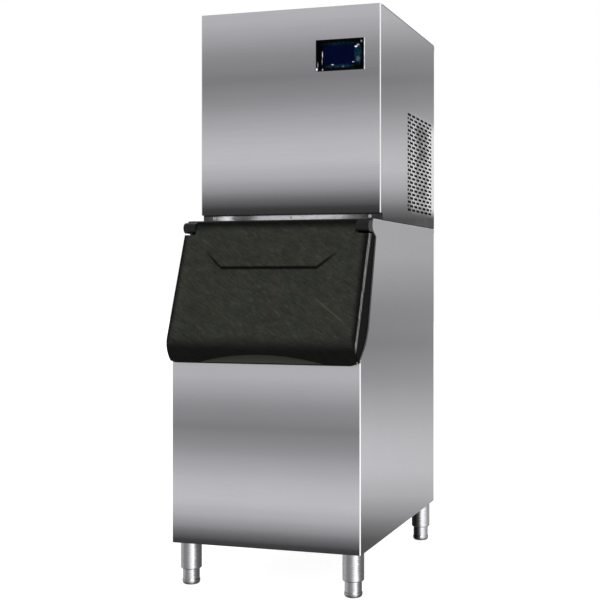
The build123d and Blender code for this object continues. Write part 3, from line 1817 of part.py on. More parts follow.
def pipe(name, radius, bend_radius, points):
    """Bent pipe through the points."""
    with BuildPart() as tube:
        with BuildLine() as run:
            FilletPolyline(*points, radius=bend_radius)
        with BuildSketch(Plane(run.line @ 0, z_dir=run.line % 0)):
            Circle(radius)
        sweep(path=run.line)
    keep(tube, name)


def make_lines():
    """Copper lines between the compressor, the condenser, the drier and the evaporator."""
    x_header = x_condenser + condenser_depth / 2
    y_condenser_end = y_head_front + condenser_back
    z_hot = z_rim + condenser_high - 30
    pipe(
        "discharge_line",
        coil_radius,
        pipe_bend,
        [
            (x_discharge, y_discharge, z_stub),
            (x_discharge, y_discharge, z_hot),
            (x_discharge, y_header, z_hot),
            (x_header, y_header, z_hot),
            (x_header, y_condenser_end, z_hot),
        ],
    )
    pipe(
        "liquid_line",
        coil_radius,
        pipe_bend,
        [
            (x_coil_right, y_coil_end + drier_length, z_coil_low),
            (x_coil_right, y_header, z_coil_low),
            (x_header, y_header, z_coil_low),
            (x_header, y_condenser_end, z_coil_low),
        ],
    )
    pipe(
        "suction_line",
        coil_radius,
        suction_bend,
        [
            (x_coil_right, y_coil_end, z_coil_high),
            (x_coil_right, y_suction, z_coil_high),
            (x_suction, y_suction, z_coil_high),
            (x_suction, y_suction, z_stub),
        ],
    )
    y_feed = y_head_front + trough_back - 15
    pipe(
        "water_feed",
        feed_radius,
        feed_bend,
        [
            (x_inlet, y_back - sheet - valve_depth, z_inlet),
            (x_inlet, y_feed, z_inlet),
            (x_inlet, y_feed, z_trough_rim - 12),
        ],
    )


def make_water_valve():
    """Inlet valve inside the back of the head, with its threaded stub outside."""
    y_in = y_back - sheet
    y_end = y_back + inlet_length
    body_width, body_height = valve_body
    with BuildPart() as valve:
        with BuildSketch(Plane.XZ.offset(-y_end)):
            with Locations((x_inlet, z_inlet)):
                Circle(inlet_radius)
        extrude(amount=inlet_length + sheet)
        with BuildSketch(Plane.XZ.offset(-(y_back + fitting_collar))):
            with Locations((x_inlet, z_inlet)):
                RegularPolygon(inlet_radius + 5, 6)
        extrude(amount=fitting_collar - seam)
        with BuildSketch(Plane.XZ.offset(-y_back)):
            with Locations((x_inlet, z_inlet)):
                Circle(inlet_neck)
        extrude(amount=sheet)
        with BuildSketch(Plane.XZ.offset(-y_in)):
            with Locations((x_inlet, z_inlet)):
                RectangleRounded(body_width, body_height, 5)
        extrude(amount=valve_depth)
        with BuildSketch(Plane.XY.offset(z_inlet + body_height / 2)):
            with Locations((x_inlet, y_in - valve_depth / 2)):
                Circle(valve_coil_radius)
        extrude(amount=valve_coil_height)
        with BuildSketch(Plane.XZ.offset(-y_end)):
            with Locations((x_inlet, z_inlet)):
                Circle(inlet_bore)
        extrude(amount=inlet_length + 10, mode=Mode.SUBTRACT)
    keep(valve, "water_valve")


def make_trough_drain():
    """Dump pipe from the trough through the partition and out at the back."""
    start = y_head_front + trough_back
    y_valve = y_partition + dump_valve_back
    with BuildPart() as drain:
        with BuildSketch(Plane.XZ.offset(-(y_back + fitting_collar))):
            with Locations((x_outlet, z_outlet)):
                Circle(outlet_radius)
        extrude(amount=y_back + fitting_collar - start)
        with BuildSketch(Plane.XZ.offset(-y_rearmost)):
            with Locations((x_outlet, z_outlet)):
                Circle(spigot_radius)
        extrude(amount=fitting_reach)
        with BuildSketch(Plane.XZ.offset(-y_valve)):
            with Locations((x_outlet, z_outlet + 4)):
                RectangleRounded(dump_valve, dump_valve, 6)
        extrude(amount=dump_valve_depth)
        with BuildSketch(Plane.XY.offset(z_outlet)):
            with Locations((x_outlet, y_valve - dump_valve_depth / 2)):
                Circle(dump_coil_radius)
        extrude(amount=dump_coil_height)
        with BuildSketch(Plane.XZ.offset(-y_rearmost)):
            with Locations((x_outlet, z_outlet)):
                Circle(spigot_radius - spigot_wall)
        extrude(amount=y_rearmost - start, mode=Mode.SUBTRACT)
    keep(drain, "trough_drain")


def make_filter_drier():
    """Copper drier in the liquid line."""
    lengthwise = Plane(
        origin=(x_coil_right, y_coil_end, z_coil_low), x_dir=(1, 0, 0), z_dir=(0, 0, 1)
    )
    with BuildPart() as drier:
        with BuildSketch(lengthwise):
            with BuildLine():
                Polyline(
                    (0, 0),
                    (coil_radius, 0),
                    (drier_radius, drier_cone),
                    (drier_radius, drier_length - drier_cone),
                    (coil_radius, drier_length),
                    (0, drier_length),
                    close=True,
                )
            make_face()
        revolve(axis=Axis((x_coil_right, y_coil_end, z_coil_low), (0, 1, 0)))
    keep(drier, "filter_drier")


if __name__ == "__main__":
    make_bin_shell()
    make_bin_rear_panel()
    make_bin_base()
    make_bin_liner()
    make_bin_insulation()
    make_bin_drain()
    make_drain_strainer()
    make_door_frame()
    make_door_shell()
    make_door_liner()
    make_door_insulation()
    make_door_gasket()
    make_hinge_pin(-1, "hinge_pin_left")
    make_hinge_pin(1, "hinge_pin_right")
    make_legs()
    for corner, spot in leg_places().items():
        make_foot(f"foot_{corner}", spot)
    make_rim_gasket()
    make_head_base()
    make_strip_screws()
    make_head_frame()
    make_head_left_panel()
    make_head_right_panel()
    make_head_front_panel()
    make_head_top_cover()
    make_head_rear_panel()
    make_display_bezel()
    make_display_screen()
    make_display_board()
    make_partition()
    make_control_box()
    make_control_board()
    make_evaporator()
    make_evaporator_coil()
    make_evaporator_frame()
    make_water_curtain()
    make_ice_probe()
    make_water_distributor()
    make_water_trough()
    make_water_pump()
    make_pump_hose()
    make_float_stem()
    make_float()
    make_compressor()
    make_compressor_grommets()
    make_condenser()
    make_fan_shroud()
    make_fan_bracket()
    make_fan_motor()
    make_fan_blade()
    make_water_valve()
    make_trough_drain()
    make_filter_drier()
    make_lines()
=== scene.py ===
"""Looks of the ice cube machine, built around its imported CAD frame."""

import json
import math

import bmesh
import bpy
from mathutils import Matrix, Vector


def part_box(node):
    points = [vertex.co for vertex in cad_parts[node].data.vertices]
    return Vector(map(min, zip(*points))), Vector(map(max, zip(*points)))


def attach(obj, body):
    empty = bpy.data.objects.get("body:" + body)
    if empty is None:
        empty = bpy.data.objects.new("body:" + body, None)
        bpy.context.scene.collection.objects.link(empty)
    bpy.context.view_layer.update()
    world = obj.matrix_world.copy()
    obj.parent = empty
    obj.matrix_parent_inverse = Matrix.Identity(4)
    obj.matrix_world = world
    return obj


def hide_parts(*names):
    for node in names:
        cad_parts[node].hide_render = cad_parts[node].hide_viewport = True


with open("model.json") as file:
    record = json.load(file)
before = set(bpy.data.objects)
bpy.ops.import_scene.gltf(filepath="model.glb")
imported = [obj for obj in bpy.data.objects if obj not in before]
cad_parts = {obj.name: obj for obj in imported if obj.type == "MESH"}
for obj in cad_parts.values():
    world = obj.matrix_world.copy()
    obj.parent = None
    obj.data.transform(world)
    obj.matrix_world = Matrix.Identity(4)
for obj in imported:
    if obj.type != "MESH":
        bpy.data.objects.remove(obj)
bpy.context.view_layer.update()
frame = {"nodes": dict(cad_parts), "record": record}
nodes = frame["nodes"]

# Camera, fitted to the photograph
image_size = 600.0
focal_pixels = 1159.0
view_centre = (369.4, 280.1)
camera_place = (1.2152, -3.3799, 0.8672)
camera_turn = 0.297
sensor_width = 36.0

# Heights and depths read from the frame
floor_of_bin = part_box("bin_shell")[0][2]
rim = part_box("bin_shell")[1][2]
strip_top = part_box("head_front_panel")[0][2]
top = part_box("head_top_cover")[1][2]
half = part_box("bin_shell")[1][0]
bin_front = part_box("bin_shell")[0][1]
head_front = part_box("head_front_panel")[0][1]
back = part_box("head_rear_panel")[1][1]
grille_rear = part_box("head_right_panel")[1][1]

# Heights where the bands of the brushed sheets start and end
bin_front_range = (floor_of_bin - 0.003, 0.622)
bin_side_range = (floor_of_bin + 0.018, 0.968)
head_front_range = (strip_top, top)
head_side_range = (1.0215, 1.642)

# Bands on a side spread from the eye's height with depth, as they do in the picture
eye_height = 0.867
band_fan = 1 / 3.26

# Screen brightness of the painted reflection bands, from the lower end of a sheet to its upper
# end
steel_bands = (
    (0.00, 55),
    (0.04, 77),
    (0.10, 126),
    (0.16, 159),
    (0.22, 175),
    (0.28, 182),
    (0.40, 171),
    (0.52, 148),
    (0.64, 128),
    (0.70, 128),
    (0.82, 146),
    (0.93, 170),
    (1.00, 177),
)
band_middle = 128
band_least = 8

# Gain and contrast of the bands on a sheet's front and on its side
bin_tuning = ((0.89, 1.02), (0.955, 1.12))
head_tuning = ((0.975, 1.03), (1.03, 1.25))
strip_gain = 1.5

# Light and shade between the grille's slots. Each pair is where a fade begins and ends, as a
# distance forward from the panel's rear edge or a height above the rim
glare_front = (0.325, 0.27)
glare_foot = (0.03, 0.07)
glare_head = (0.36, 0.31)
glare_rearmost = (0.115, 0.07)
shade_front = (0.275, 0.21)
shade_rear = (0.07, 0.12)
shade_foot = (0.03, 0.17)
shade_head = (0.345, 0.31)

# Beam of light that slants down over the grille's rear part: its fade towards the front, its
# fade to either side, its slope, and its height above the rim where the depth is zero
beam_front = (0.20, 0.06)
beam_reach = (0.02, 0.13)
beam_slope = -0.55
beam_rise = 0.33

# Part of the side where cut edges belong to the slots, as heights and a depth
slots_foot = (rim + 0.03, rim + 0.035)
slots_head = (top - 0.1, top - 0.12)
slots_rear = (back - 0.02, back - 0.03)

# Screen brightness of the painted glare, the painted shade beside it, the painted shade on the
# slots' cut edges, and the painted highlights where a sheet is folded
glare_grey = 250
shade_grey = 88
slot_shade_grey = 10
fold_highlight_grey = 232

# Share of a normal between which a face turns from the front to the side or the back
side_turn = (0.45, 0.75)

# Slight tints of the greys, and of the light that grazes steel
steel_tint = (1.01, 1.0, 1.05)
door_tint = (0.99, 1.02, 0.86)
steel_glint = (0.6, 0.6, 0.6, 1.0)

# Screen brightness of the painted reflections round a turned leg, from its left edge to its
# right one as the camera sees it
leg_bands = (
    (0.00, 170),
    (0.20, 140),
    (0.32, 106),
    (0.44, 148),
    (0.52, 216),
    (0.57, 230),
    (0.62, 156),
    (0.68, 106),
    (0.76, 84),
    (0.86, 80),
    (1.00, 56),
)
rear_leg_bands = (
    (0.00, 54),
    (0.12, 40),
    (0.36, 44),
    (0.46, 116),
    (0.53, 218),
    (0.61, 216),
    (0.69, 172),
    (0.77, 132),
    (0.88, 138),
    (1.00, 116),
)

# Bearing in degrees from which the camera sees the front legs and the rear ones, the screen
# brightness of their far side, and the heights between which a foot's toe darkens
front_leg_bearing = -66
rear_leg_bearing = -75
far_side_grey = 140
toe_fade = (0.014, 0.002)

# Screen brightness of the painted patches of light along the strip under the head, from its left
# end to its right one
strip_bands = (
    (0.00, 40),
    (0.06, 84),
    (0.12, 152),
    (0.17, 84),
    (0.26, 72),
    (0.31, 118),
    (0.52, 130),
    (0.74, 126),
    (0.80, 110),
    (0.84, 80),
    (0.92, 52),
    (1.00, 36),
)

# Heights between which painted shadow darkens the strip under the head, and how far its ends are
# set in
strip_shadow_heights = (strip_top - 0.005, strip_top - 0.001)
strip_inset = 0.012

# Screen brightness of the pale mouldings, between their darker and lighter patches, and the
# heights where painted shade on the tub's top flange begins
pale_greys = (188, 200)
flange_shade_heights = (rim - 0.0035, rim - 0.0025)

# Door's slanted face, from the hinge's place in the record
hinge_place = next(
    joint["pos_m"]
    for joint in frame["record"]["behaviour"]["joints"]
    if joint["name"] == "door_hinge"
)
door_low, door_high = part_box("door_shell")
face_normal = Vector((0, -0.9314, 0.3639))
face_rise = 0.017

# Screen brightness along the streaks of the door's grain
door_greys = ((0.34, 31), (0.47, 42), (0.56, 48), (0.69, 72))

# Lower edge of the door's raised pad and the crease on its right, as (across, height) points:
# the pad's edge runs level between its low corners and slants up to its high ones
pad_low = (0.143, 0.904)
pad_high = (0.203, 0.952)
pad_shade_drop = 0.002
crease_start = (0.144, 0.822)
crease_end = (0.246, 0.747)

# Grip under the door, and the heights and half widths where painted shade fades the door's skin
# to black
grip_height = door_low[2] + 0.036
door_foot_shade = (door_low[2] + 0.085, grip_height)
door_top_shade = (door_high[2] - 0.03, door_high[2] - 0.005)
door_side_shade = (half - 0.022, half - 0.004)

# Streak of light on the door's side: depths under the face where it rises and falls
streak_rise = (0.002, 0.006)
streak_fall = (0.020, 0.011)

# Display's surround, with the painted blue glare hazes and white glints reflected on its clear
# film: each is the place and reach of an oval, in shares of the surround's width and height, and
# its strength
window_low, window_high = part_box("display_bezel")
film_glare_hazes = (
    (0.86, 0.50, 0.09, 0.40, 0.9),
    (0.50, 0.85, 0.42, 0.07, 0.35),
    (0.42, 0.14, 0.32, 0.07, 0.6),
    (0.62, 0.14, 0.20, 0.08, 0.5),
)
film_glints = (
    (0.82, 0.73, 0.034, 0.030, 1.7),
    (0.86, 0.78, 0.035, 0.035, 0.5),
    (0.93, 0.89, 0.022, 0.05, 0.3),
    (0.86, 0.34, 0.045, 0.10, 0.10),
    (0.765, 0.25, 0.028, 0.020, 0.7),
    (0.343, 0.19, 0.034, 0.022, 0.7),
    (0.555, 0.12, 0.03, 0.02, 0.2),
    (0.137, 0.52, 0.009, 0.13, 1.0),
    (0.130, 0.31, 0.009, 0.12, 0.4),
    (0.022, 0.06, 0.018, 0.06, 1.8),
    (0.042, 0.20, 0.010, 0.12, 0.4),
    (0.14, 0.05, 0.018, 0.04, 0.5),
)

# Fades at the sides of the display's lit area, in the same shares, and across the surround's
# right edge, where a highlight is painted
lit_left = (0.14, 0.165)
lit_right = (0.85, 0.76)
lit_foot = (0.18, 0.22)
lit_head = (0.83, 0.78)
highlight_edge = (window_high[0] - 0.0032, window_high[0] - 0.0016)

# Colours of the painted glare hazes and glints on the film, of the dark glass, and of the lit
# one's patches
glare_haze_blue = (0.006, 0.035, 0.060, 1)
glint_white = (0.78, 0.82, 0.95, 1)
unlit_glass = (0.0003, 0.0004, 0.0006, 1)
lit_glass = ((0.0002, 0.0010, 0.010, 1), (0.0003, 0.0018, 0.017, 1))

# Colours of pipe, foam and circuit board, between their darker and lighter patches
copper_colours = ((0.30, 0.11, 0.05, 1), (0.68, 0.30, 0.17, 1))
foam_colours = ((0.50, 0.40, 0.20, 1), (0.72, 0.62, 0.38, 1))
board_colours = ((0.006, 0.06, 0.02, 1), (0.012, 0.10, 0.035, 1))

# Shares between which a noise mostly lies
noise_low = 0.3
noise_high = 0.7

# Screws of the strip, and of the rear panels with how many each side of a panel has
strip_washer_radius = 0.0046
strip_head_radius = 0.8 * strip_washer_radius
washer_height = 0.0008
rear_head_radius = 0.004
rear_head_height = 0.0024
rear_screw_inset = 0.006
rear_screw_margin = 0.03
rear_screw_counts = (("head_rear_panel", 5), ("bin_rear_panel", 7))

# Profile of a screw's head, and its cross recess, in shares of the head's radius and height
head_profile = ((1.0, 0.0), (1.0, 0.32), (0.92, 0.62), (0.74, 0.86), (0.40, 1.0))
recess_length = 1.15
recess_width = 0.26
recess_floor = 0.35
recess_top = 1.2
recess_turn = 0.2

# Thread of the water inlet: its flanks and flat are shares of its pitch, from its middle
thread_pitch = 0.0018
thread_turns = 6
thread_steps = 32
thread_start = -0.006
thread_crest = 0.0007
thread_root = 0.0003
thread_flank = 0.42
thread_flat = 0.08
inlet_place, inlet_radius = next(
    (mount["pos_m"], mount["dims"]["r_mm"] / 1000)
    for mount in frame["record"]["mounts"]
    if mount["name"] == "water_inlet"
)

# Cap along the doorway's sill: half its length, and its section as (depth, height) points
sill_half = 0.2358
sill_section = (
    (-0.3825, 0.6611),
    (-0.3776, 0.6611),
    (-0.3640, 0.6720),
    (-0.3600, 0.6748),
    (-0.3598, 0.6695),
    (-0.3590, 0.6695),
    (-0.3590, 0.6752),
    (-0.3602, 0.6757),
    (-0.3644, 0.6729),
    (-0.3779, 0.6620),
    (-0.3825, 0.6620),
)
sill_edge_radius = 0.0002

# Edges sharper than this stay sharp in smooth shading
sharp_angle = math.radians(35)


def linear(value):
    """Screen brightness from 0 to 255 as linear light."""
    share = value / 255
    if share <= 0.04045:
        return share / 12.92
    return ((share + 0.055) / 1.055) ** 2.4


def grey(value, tint=(1.0, 1.0, 1.0)):
    """Linear grey of a screen brightness, with a slight tint."""
    light = linear(value)
    return (light * tint[0], light * tint[1], light * tint[2], 1.0)


class Nodes:
    """A material's node tree, with one short method for each kind of node."""

    def __init__(self, name):
        self.material = bpy.data.materials.new(name)
        self.material.use_nodes = True
        self.tree = self.material.node_tree
        self.shader = self.tree.nodes["Principled BSDF"]
        self.place = self.add("ShaderNodeTexCoord").outputs["Object"]
        self.x, self.y, self.z = self.parts(self.place)
        normal = self.add("ShaderNodeNewGeometry").outputs["Normal"]
        self.normal_x, self.normal_y, self.normal_z = self.parts(normal)

    def add(self, kind, **settings):
        """New node with its settings."""
        new = self.tree.nodes.new(kind)
        for key, value in settings.items():
            setattr(new, key, value)
        return new

    def feed(self, socket, value):
        """Links a socket to an output, or sets its value."""
        if isinstance(value, bpy.types.NodeSocket):
            self.tree.links.new(value, socket)
        else:
            socket.default_value = value

    def sums(self, operation, *values, clamp=False):
        """One step of arithmetic on up to three values."""
        new = self.add("ShaderNodeMath", operation=operation, use_clamp=clamp)
        for socket, value in zip(new.inputs, values):
            self.feed(socket, value)
        return new.outputs[0]

    def product(self, first, *others):
        """Product of several values."""
        for other in others:
            first = self.sums("MULTIPLY", first, other)
        return first

    def off(self, value, middle):
        """How far a value is from a middle, to either side."""
        return self.sums("ABSOLUTE", self.sums("SUBTRACT", value, middle))

    def parts(self, vector):
        """X, Y and Z of a vector."""
        new = self.add("ShaderNodeSeparateXYZ")
        self.feed(new.inputs[0], vector)
        return new.outputs[0], new.outputs[1], new.outputs[2]

    def stretched(self, scale, turn=(0, 0, 0)):
        """Object coordinates scaled along each axis, after a turn in degrees."""
        new = self.add("ShaderNodeMapping", vector_type="TEXTURE")
        self.feed(new.inputs["Vector"], self.place)
        new.inputs["Rotation"].default_value = [math.radians(a) for a in turn]
        new.inputs["Scale"].default_value = [1 / s for s in scale]
        return new.outputs[0]

    def noise(self, vector, scale, detail=4.0, rough=0.55):
        """Smooth noise from 0 to 1."""
        new = self.add("ShaderNodeTexNoise")
        self.feed(new.inputs["Vector"], vector)
        new.inputs["Scale"].default_value = scale
        new.inputs["Detail"].default_value = detail
        new.inputs["Roughness"].default_value = rough
        return new.outputs["Fac"]

    def spread(self, value, low, high, new_low=0.0, new_high=1.0, kind="LINEAR"):
        """Maps one range to another, held at its ends."""
        new = self.add("ShaderNodeMapRange", interpolation_type=kind)
        for socket, number in zip(new.inputs, (value, low, high, new_low, new_high)):
            self.feed(socket, number)
        return new.outputs[0]

    def fade(self, value, low, high, new_low=0.0, new_high=1.0):
        """Maps one range to another, with soft ends."""
        return self.spread(value, low, high, new_low, new_high, "SMOOTHSTEP")

    def vary(self, noise, low, high):
        """Maps the range where a noise mostly lies to another one."""
        return self.spread(noise, noise_low, noise_high, low, high)

    def ramp(self, value, stops, kind="CARDINAL"):
        """Colours along a value."""
        new = self.add("ShaderNodeValToRGB")
        self.feed(new.inputs[0], value)
        band = new.color_ramp
        band.interpolation = kind
        while len(band.elements) < len(stops):
            band.elements.new(0.5)
        for element, (position, colour) in zip(band.elements, stops):
            element.position = position
            element.color = colour
        return new.outputs[0]

    def shades(self, noise, first, second, low=noise_low):
        """Colour that goes from one to another over the range where a noise mostly lies."""
        return self.ramp(noise, ((low, first), (noise_high, second)), "LINEAR")

    def mix(self, share, first, second, kind="MIX"):
        """Mixes two colours."""
        new = self.add("ShaderNodeMix", data_type="RGBA", blend_type=kind)
        self.feed(new.inputs[0], share)
        self.feed(new.inputs[6], first)
        self.feed(new.inputs[7], second)
        return new.outputs[2]

    def blend(self, share, first, second):
        """Mixes two numbers."""
        new = self.add("ShaderNodeMix", data_type="FLOAT")
        self.feed(new.inputs[0], share)
        self.feed(new.inputs[2], first)
        self.feed(new.inputs[3], second)
        return new.outputs[0]

    def grey_of(self, value):
        """Number as a grey."""
        new = self.add("ShaderNodeCombineColor")
        for socket in new.inputs[:3]:
            self.feed(socket, value)
        return new.outputs[0]

    def bump(self, height, strength, depth, under=None):
        """Small relief, on top of another one if given."""
        new = self.add("ShaderNodeBump")
        new.inputs["Strength"].default_value = strength
        new.inputs["Distance"].default_value = depth
        self.feed(new.inputs["Height"], height)
        if under is not None:
            self.feed(new.inputs["Normal"], under)
        return new.outputs[0]

    def surface(self, **sockets):
        """Sets or links the shader's own sockets by name."""
        for key, value in sockets.items():
            self.feed(self.shader.inputs[key.replace("_", " ")], value)
        return self.material


def paint(name, material):
    """Gives a CAD node its material."""
    mesh = nodes[name].data
    mesh.materials.clear()
    mesh.materials.append(material)


def sheet_grain(m, facing_side):
    """Fine brushed lines that run level over fronts and sides alike."""
    along_front = m.noise(m.stretched((2, 1, 900)), 3.0, 3.0)
    along_side = m.noise(m.stretched((1, 2, 900)), 3.0, 3.0)
    return m.blend(facing_side, along_front, along_side)


def band_colours(stops, gain=1.0, contrast=1.0):
    """Steel greys for a ramp, from stops of screen brightness."""
    colours = []
    for at, value in stops:
        tuned = gain * (band_middle + contrast * (value - band_middle))
        colours.append((at, grey(max(tuned, band_least), steel_tint)))
    return colours


def grille_glare(m):
    """Bright patch of light on the slotted part of the side, strongest at its rear edge."""
    forward = m.sums("SUBTRACT", grille_rear, m.y)
    above = m.sums("SUBTRACT", m.z, rim)
    patch = m.product(
        m.fade(forward, *glare_front), m.fade(above, *glare_foot), m.fade(above, *glare_head)
    )
    middle_of_beam = m.sums("MULTIPLY_ADD", m.y, beam_slope, rim + beam_rise)
    strength = m.product(
        m.fade(m.off(m.z, middle_of_beam), *beam_reach, 1.0, 0.0),
        m.fade(forward, *beam_front),
        m.spread(m.noise(m.place, 34.0, 3.0), 0.35, 0.6, 0.8, 1.0),
    )
    strength = m.spread(strength, 0.0, 1.0, 0.55, 1.0)
    rearmost = m.fade(forward, *glare_rearmost, 0.0, 0.93)
    return m.product(patch, m.sums("MAXIMUM", strength, rearmost))


def grille_shade(m):
    """Darker patch between the slots, in front of the bright one."""
    forward = m.sums("SUBTRACT", grille_rear, m.y)
    above = m.sums("SUBTRACT", m.z, rim)
    return m.product(
        m.fade(forward, *shade_front),
        m.fade(forward, *shade_rear),
        m.fade(above, *shade_foot, 0.4, 1.0),
        m.fade(above, *shade_head),
        m.spread(m.noise(m.place, 24.0, 3.0), 0.38, 0.6, 0.35, 1.0),
        0.75,
    )


def shaded_slot_edges(m, sideways):
    """Cut edges of the grille's slots, which take painted shade, without the panel's own edges.
    """
    return m.product(
        m.fade(sideways, 0.3, 0.05),
        m.spread(m.z, *slots_foot),
        m.spread(m.z, *slots_head),
        m.spread(m.y, *slots_rear),
    )


def brushed_sheet(name, front_range, side_range, depth_start, tuning, glare=False):
    """Stainless sheet with the soft bands that its room throws on it."""
    m = Nodes(name)
    sideways = m.sums("ABSOLUTE", m.normal_x)
    facing_side = m.fade(sideways, *side_turn)
    facing_back = m.fade(m.normal_y, *side_turn)
    from_eye = m.sums("SUBTRACT", m.z, eye_height)
    depth = m.sums("SUBTRACT", m.y, depth_start)
    widen = m.sums("MULTIPLY_ADD", depth, band_fan, 1.0)
    side_height = m.sums("ADD", m.sums("DIVIDE", from_eye, widen), eye_height)
    front = m.ramp(m.spread(m.z, *front_range), band_colours(steel_bands, *tuning[0]))
    side = m.ramp(m.spread(side_height, *side_range), band_colours(steel_bands, *tuning[1]))
    colour = m.mix(m.sums("MAXIMUM", facing_side, facing_back), front, side)
    grain = sheet_grain(m, facing_side)
    cloud = m.noise(m.place, 5.0, 3.0)
    light = m.sums("ADD", m.vary(grain, 0.955, 1.045), m.vary(cloud, -0.012, 0.012))
    colour = m.mix(1.0, colour, m.grey_of(light), "MULTIPLY")
    if glare:
        # Painted glare, painted shade between the slots, and painted shade on the slots' cut
        # edges
        colour = m.mix(grille_glare(m), colour, grey(glare_grey))
        colour = m.mix(grille_shade(m), colour, grey(shade_grey))
        colour = m.mix(shaded_slot_edges(m, sideways), colour, grey(slot_shade_grey))
    # Painted highlights along the sheets' folds
    forward = m.sums("ABSOLUTE", m.normal_y)
    upward = m.sums("ABSOLUTE", m.normal_z)
    turning = m.product(sideways, m.sums("MAXIMUM", forward, upward))
    colour = m.mix(m.fade(turning, 0.12, 0.45), colour, grey(fold_highlight_grey))
    return m.surface(
        Base_Color=colour,
        Metallic=1.0,
        Specular_Tint=steel_glint,
        Roughness=m.vary(grain, 0.27, 0.36),
        Normal=m.bump(grain, 0.06, 0.0002),
    )


def turned_steel():
    """Bright turned legs whose reflections run up and down, other ones in front than behind."""
    m = Nodes("turned_steel")
    bearing = m.sums("ARCTAN2", m.normal_y, m.normal_x)
    smear = m.noise(m.stretched((1, 1, 6)), 60.0, 4.0)
    ripple = m.vary(smear, -0.02, 0.02)
    sides = []
    for seen_from, stops in ((front_leg_bearing, leg_bands), (rear_leg_bearing, rear_leg_bands)):
        turn = m.sums("SUBTRACT", bearing, math.radians(seen_from))
        away = m.sums("WRAP", turn, math.pi, -math.pi)
        share = m.spread(away, -math.pi / 2, math.pi / 2)
        behind = m.spread(m.sums("ABSOLUTE", away), math.pi / 2, 0.6 * math.pi)
        bands = m.ramp(m.sums("ADD", share, ripple), band_colours(stops))
        sides.append(m.mix(behind, bands, grey(far_side_grey)))
    colour = m.mix(m.spread(m.y, -0.01, 0.01), *sides)
    colour = m.mix(m.fade(m.z, *toe_fade, 0.0, 0.8), colour, grey(30))
    flat = m.fade(m.sums("ABSOLUTE", m.normal_z), 0.4, 0.9)
    colour = m.mix(flat, colour, grey(74))
    fine = m.noise(m.stretched((1, 1, 40)), 30.0, 3.0)
    return m.surface(
        Base_Color=colour,
        Metallic=1.0,
        Specular_Tint=steel_glint,
        Roughness=m.vary(smear, 0.2, 0.32),
        Normal=m.bump(fine, 0.03, 0.0002),
    )


def strip_steel():
    """Bent front edge of the tray, with the patchy light that it catches under the head."""
    m = Nodes("strip_steel")
    share = m.spread(m.x, strip_inset - half, half - strip_inset)
    uneven = m.noise(m.stretched((6, 1, 30)), 7.0, 4.0)
    share = m.sums("ADD", share, m.vary(uneven, -0.015, 0.015))
    bright = m.ramp(share, band_colours(strip_bands, strip_gain))
    # Painted shadow under the head's lower edge
    bright = m.mix(m.fade(m.z, *strip_shadow_heights), bright, grey(34))
    facing_front = m.spread(m.normal_y, -0.9, -0.6, 1.0, 0.0)
    grain = m.noise(m.stretched((2, 2, 300)), 5.0, 3.0)
    plain = m.shades(grain, grey(140), grey(166))
    return m.surface(
        Base_Color=m.mix(facing_front, plain, bright),
        Metallic=1.0,
        Specular_Tint=steel_glint,
        Roughness=m.vary(uneven, 0.22, 0.38),
        Normal=m.bump(grain, 0.08, 0.0003),
    )


def plain_steel(name, value, rough):
    """Plain sheet or turned steel with faint grain."""
    m = Nodes(name)
    grain = m.noise(m.stretched((1, 1, 20)), 20.0, 4.0)
    return m.surface(
        Base_Color=m.shades(grain, grey(value - 14), grey(value + 10)),
        Metallic=1.0,
        Roughness=m.vary(grain, rough - 0.05, rough + 0.07),
        Normal=m.bump(grain, 0.08, 0.0003),
    )


def moulding(name, low, high, rough, pebble=900.0, gloss=0.5, flange_shaded=False):
    """Moulded plastic with fine pebble grain, and with painted shade on the tub's top flange."""
    m = Nodes(name)
    pebbles = m.noise(m.place, pebble, 2.0)
    patches = m.noise(m.place, 12.0, 4.0)
    colour = m.shades(patches, grey(low), grey(high))
    if flange_shaded:
        # Painted shade on the tub's top flange, under the head
        colour = m.mix(m.spread(m.z, *flange_shade_heights), colour, grey(20))
    return m.surface(
        Base_Color=colour,
        Roughness=m.vary(patches, rough - 0.05, rough + 0.05),
        Normal=m.bump(pebbles, 0.18, 0.0003),
        Specular_IOR_Level=gloss,
    )


